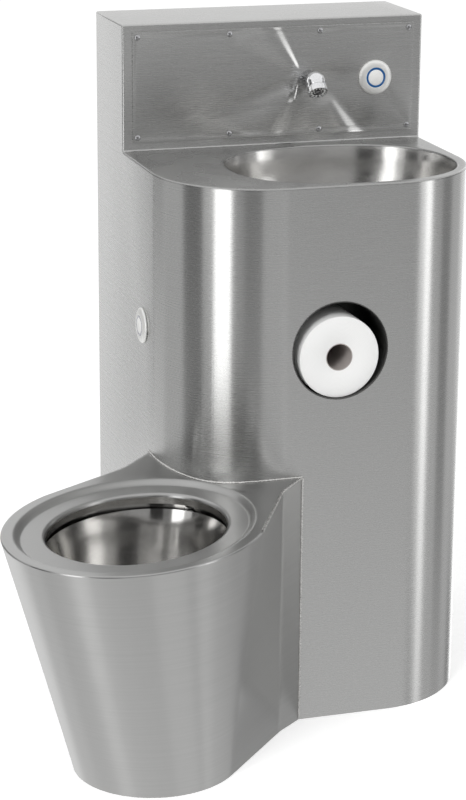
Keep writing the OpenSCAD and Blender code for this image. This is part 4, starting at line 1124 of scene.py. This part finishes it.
# Studio: floor, tall cards round the unit and the world
studio = {"radius": 3400, "facet": 6, "middleY": -250, "low": -2600, "high": 2400, "foot": 0.24,
          "middle": 0.42, "head": 0.6, "brightest": 3.0, "ceiling": 0.95, "ceilingZ": 2900,
          "ceilingBox": (-2600, 2600, -3400, 1400), "nearFlag": 0.06, "nearFlagX": -900,
          "nearFlagBox": (1550, 1930, -250, 1300), "floorBox": (-9000, 9000, -9000, 9000),
          "floorColour": 0.9, "floorLift": 0.42, "softLight": 0.7}
# each card's first and last direction, where 0 is straight in front of the unit, and its
# light at the foot, the middle and the top
studioCards = {
    "endLeft": (-158, -130, (1.2, 0.7, 0.35)), "backLeft": (-130, -98, (0.85, 0.5, 0.55)),
    "flagLeft": (-98, -74, (0.45, 0.3, 0.1)), "fillLeft": (-74, -61, (0.4, 0.4, 0.8)),
    "stripLeft": (-61, -43, (1.1, 3.0, 2.5)), "innerLeft": (-43, -30, (0.6, 0.7, 0.25)),
    "flagFront": (-30, -12, (0.35, 0.65, 0.05)), "frontLeft": (-12, 14, (0.15, 0.9, 0.4)),
    "front": (14, 46, (0.72, 0.6, 0.33)), "innerRight": (46, 54, (0.3, 0.8, 1.25)),
    "stripRight": (54, 62, (0.8, 2.0, 2.3)), "outerRight": (62, 78, (0.5, 0.7, 0.45)),
    "flagRight": (78, 94, (0.6, 0.25, 0.3)), "farRight": (94, 114, (0.6, 0.65, 0.55)),
    "backRight": (114, 130, (0.2, 0.7, 1.0)), "endRight": (130, 146, (1.8, 1.6, 1.5))}
softLamp = {"place": (-1.9, -2.6, 2.3), "leans": (-1.9, -2.1, 1.7), "size": 0.9, "watts": 45}
white = (1, 1, 1, 1)


def emission(name, level):
    material = bpy.data.materials.new(name)
    material.use_nodes = True
    tree = material.node_tree
    tree.nodes.clear()
    glow = addNode(tree, "ShaderNodeEmission", {"Color": white, "Strength": level})
    addNode(tree, "ShaderNodeOutputMaterial", {"Surface": glow})
    return material


def stageCard(card, glow):
    # a card shows in the metal, and neither to the camera nor as light on the floor
    card.data.materials.append(glow)
    card.visible_camera = False
    card.visible_diffuse = False
    card.visible_shadow = False


def sheetPiece(name, corners):
    return makePiece(name, (corners, [(0, 1, 2, 3)]))


def makeCard(name, start, end, levels):
    steps = max(1, int((end - start) / studio["facet"]))
    line = []
    for i in range(steps + 1):
        a = math.radians(start + (end - start) * i / steps)
        line.append((studio["radius"] * math.sin(a), studio["middleY"] - studio["radius"] * math.cos(a)))
    card = makePiece(name, loft([[(x, y, z) for x, y in line] for z in (studio["low"], studio["high"])]))
    glow = emission(name + "Glow", 1.0)
    tree = glow.node_tree
    coords = addNode(tree, "ShaderNodeTexCoord")
    split = addNode(tree, "ShaderNodeSeparateXYZ", {"Vector": coords.outputs["Object"]})
    climb = addNode(tree, "ShaderNodeMapRange",
                    {"Value": split.outputs["Z"], "From Min": studio["low"] * mm,
                     "From Max": studio["high"] * mm})
    ramp = addNode(tree, "ShaderNodeValToRGB", {"Fac": climb})
    ramp.color_ramp.interpolation = "EASE"
    stops = ramp.color_ramp.elements
    stops.new(studio["middle"])
    for stop, position, level in zip(stops, (studio["foot"], studio["middle"], studio["head"]), levels):
        stop.position = position
        stop.color = [level / studio["brightest"]] * 3 + [1]
    strength = addNode(tree, "ShaderNodeMath", {0: ramp, 1: studio["brightest"]}, operation="MULTIPLY")
    setInputs(tree, tree.nodes["Emission"], {"Strength": strength})
    stageCard(card, glow)


for name, values in studioCards.items():
    makeCard(name, *values)
ceiling = [(x, y, studio["ceilingZ"]) for x, y in rectangle(*studio["ceilingBox"])]
stageCard(sheetPiece("ceilingCard", ceiling), emission("ceilingGlow", studio["ceiling"]))
# a dark flag close to the left flank shades that flank towards its front
flag = [(studio["nearFlagX"], y, z) for y, z in rectangle(*studio["nearFlagBox"])]
stageCard(sheetPiece("nearFlag", flag), emission("nearFlagGlow", studio["nearFlag"]))

# a soft lamp high on the left lights what isn't metal
lamp = addObject("softLamp", bpy.data.lights.new("softLamp", "AREA"))
lamp.data.shape = "RECTANGLE"
lamp.data.size = lamp.data.size_y = softLamp["size"]
lamp.data.energy = softLamp["watts"]
lamp.matrix_world = (Matrix.Translation(softLamp["place"])
                     @ Vector(softLamp["leans"]).to_track_quat("Z", "Y").to_matrix().to_4x4())
lamp.visible_glossy = False

floor = sheetPiece("floor", [(x, y, 0) for x, y in rectangle(*studio["floorBox"])])
paint = bpy.data.materials.new("floorPaint")
paint.use_nodes = True
tree = paint.node_tree
tree.nodes.clear()
ray = addNode(tree, "ShaderNodeLightPath")
matt = addNode(tree, "ShaderNodeBsdfDiffuse", {"Color": [studio["floorColour"]] * 3 + [1]})
dim = addNode(tree, "ShaderNodeMath", {0: ray.outputs["Is Camera Ray"], 1: studio["floorLift"]},
              operation="MULTIPLY")
lift = addNode(tree, "ShaderNodeEmission", {"Color": white, "Strength": dim})
both = addNode(tree, "ShaderNodeAddShader", {0: matt, 1: lift})
addNode(tree, "ShaderNodeOutputMaterial", {"Surface": both})
floor.data.materials.append(paint)
floor.visible_glossy = False

# the world is white where it is seen, also in metal and through glass, and softer as light
scene.world = bpy.data.worlds.new("studio")
scene.world.use_nodes = True
tree = scene.world.node_tree
tree.nodes.clear()
ray = addNode(tree, "ShaderNodeLightPath")
seen = addNode(tree, "ShaderNodeMath",
               {0: ray.outputs["Is Camera Ray"], 1: ray.outputs["Is Glossy Ray"]}, operation="MAXIMUM")
seenToo = addNode(tree, "ShaderNodeMath", {0: seen, 1: ray.outputs["Is Transmission Ray"]},
                  operation="MAXIMUM")
level = addNode(tree, "ShaderNodeMapRange",
                {"Value": seenToo, "To Min": studio["softLight"], "To Max": 1.0})
sky = addNode(tree, "ShaderNodeBackground", {"Color": white, "Strength": level})
addNode(tree, "ShaderNodeOutputWorld", {"Surface": sky})
scene.view_settings.view_transform = "Standard"

# Camera, fitted to the photograph
view = {"place": (-1.236, -3.875, 1.592), "yaw": 17.5, "pitch": 16.66, "roll": 0.39, "lens": 111.1}
yaw, pitch, tilt = (math.radians(view[key]) for key in ("yaw", "pitch", "roll"))
ahead = Vector((math.sin(yaw) * math.cos(pitch), math.cos(yaw) * math.cos(pitch), -math.sin(pitch)))
right = Vector((math.cos(yaw), -math.sin(yaw), 0))
up = right.cross(ahead)
right, up = (right * math.cos(tilt) + up * math.sin(tilt), up * math.cos(tilt) - right * math.sin(tilt))
camera = addObject("camera", bpy.data.cameras.new("camera"))
camera.data.lens = view["lens"]
camera.data.sensor_width = 36
camera.matrix_world = (Matrix.Translation(view["place"])
                       @ Matrix((right, up, -ahead)).transposed().to_4x4())
scene.camera = camera
print("studio made")
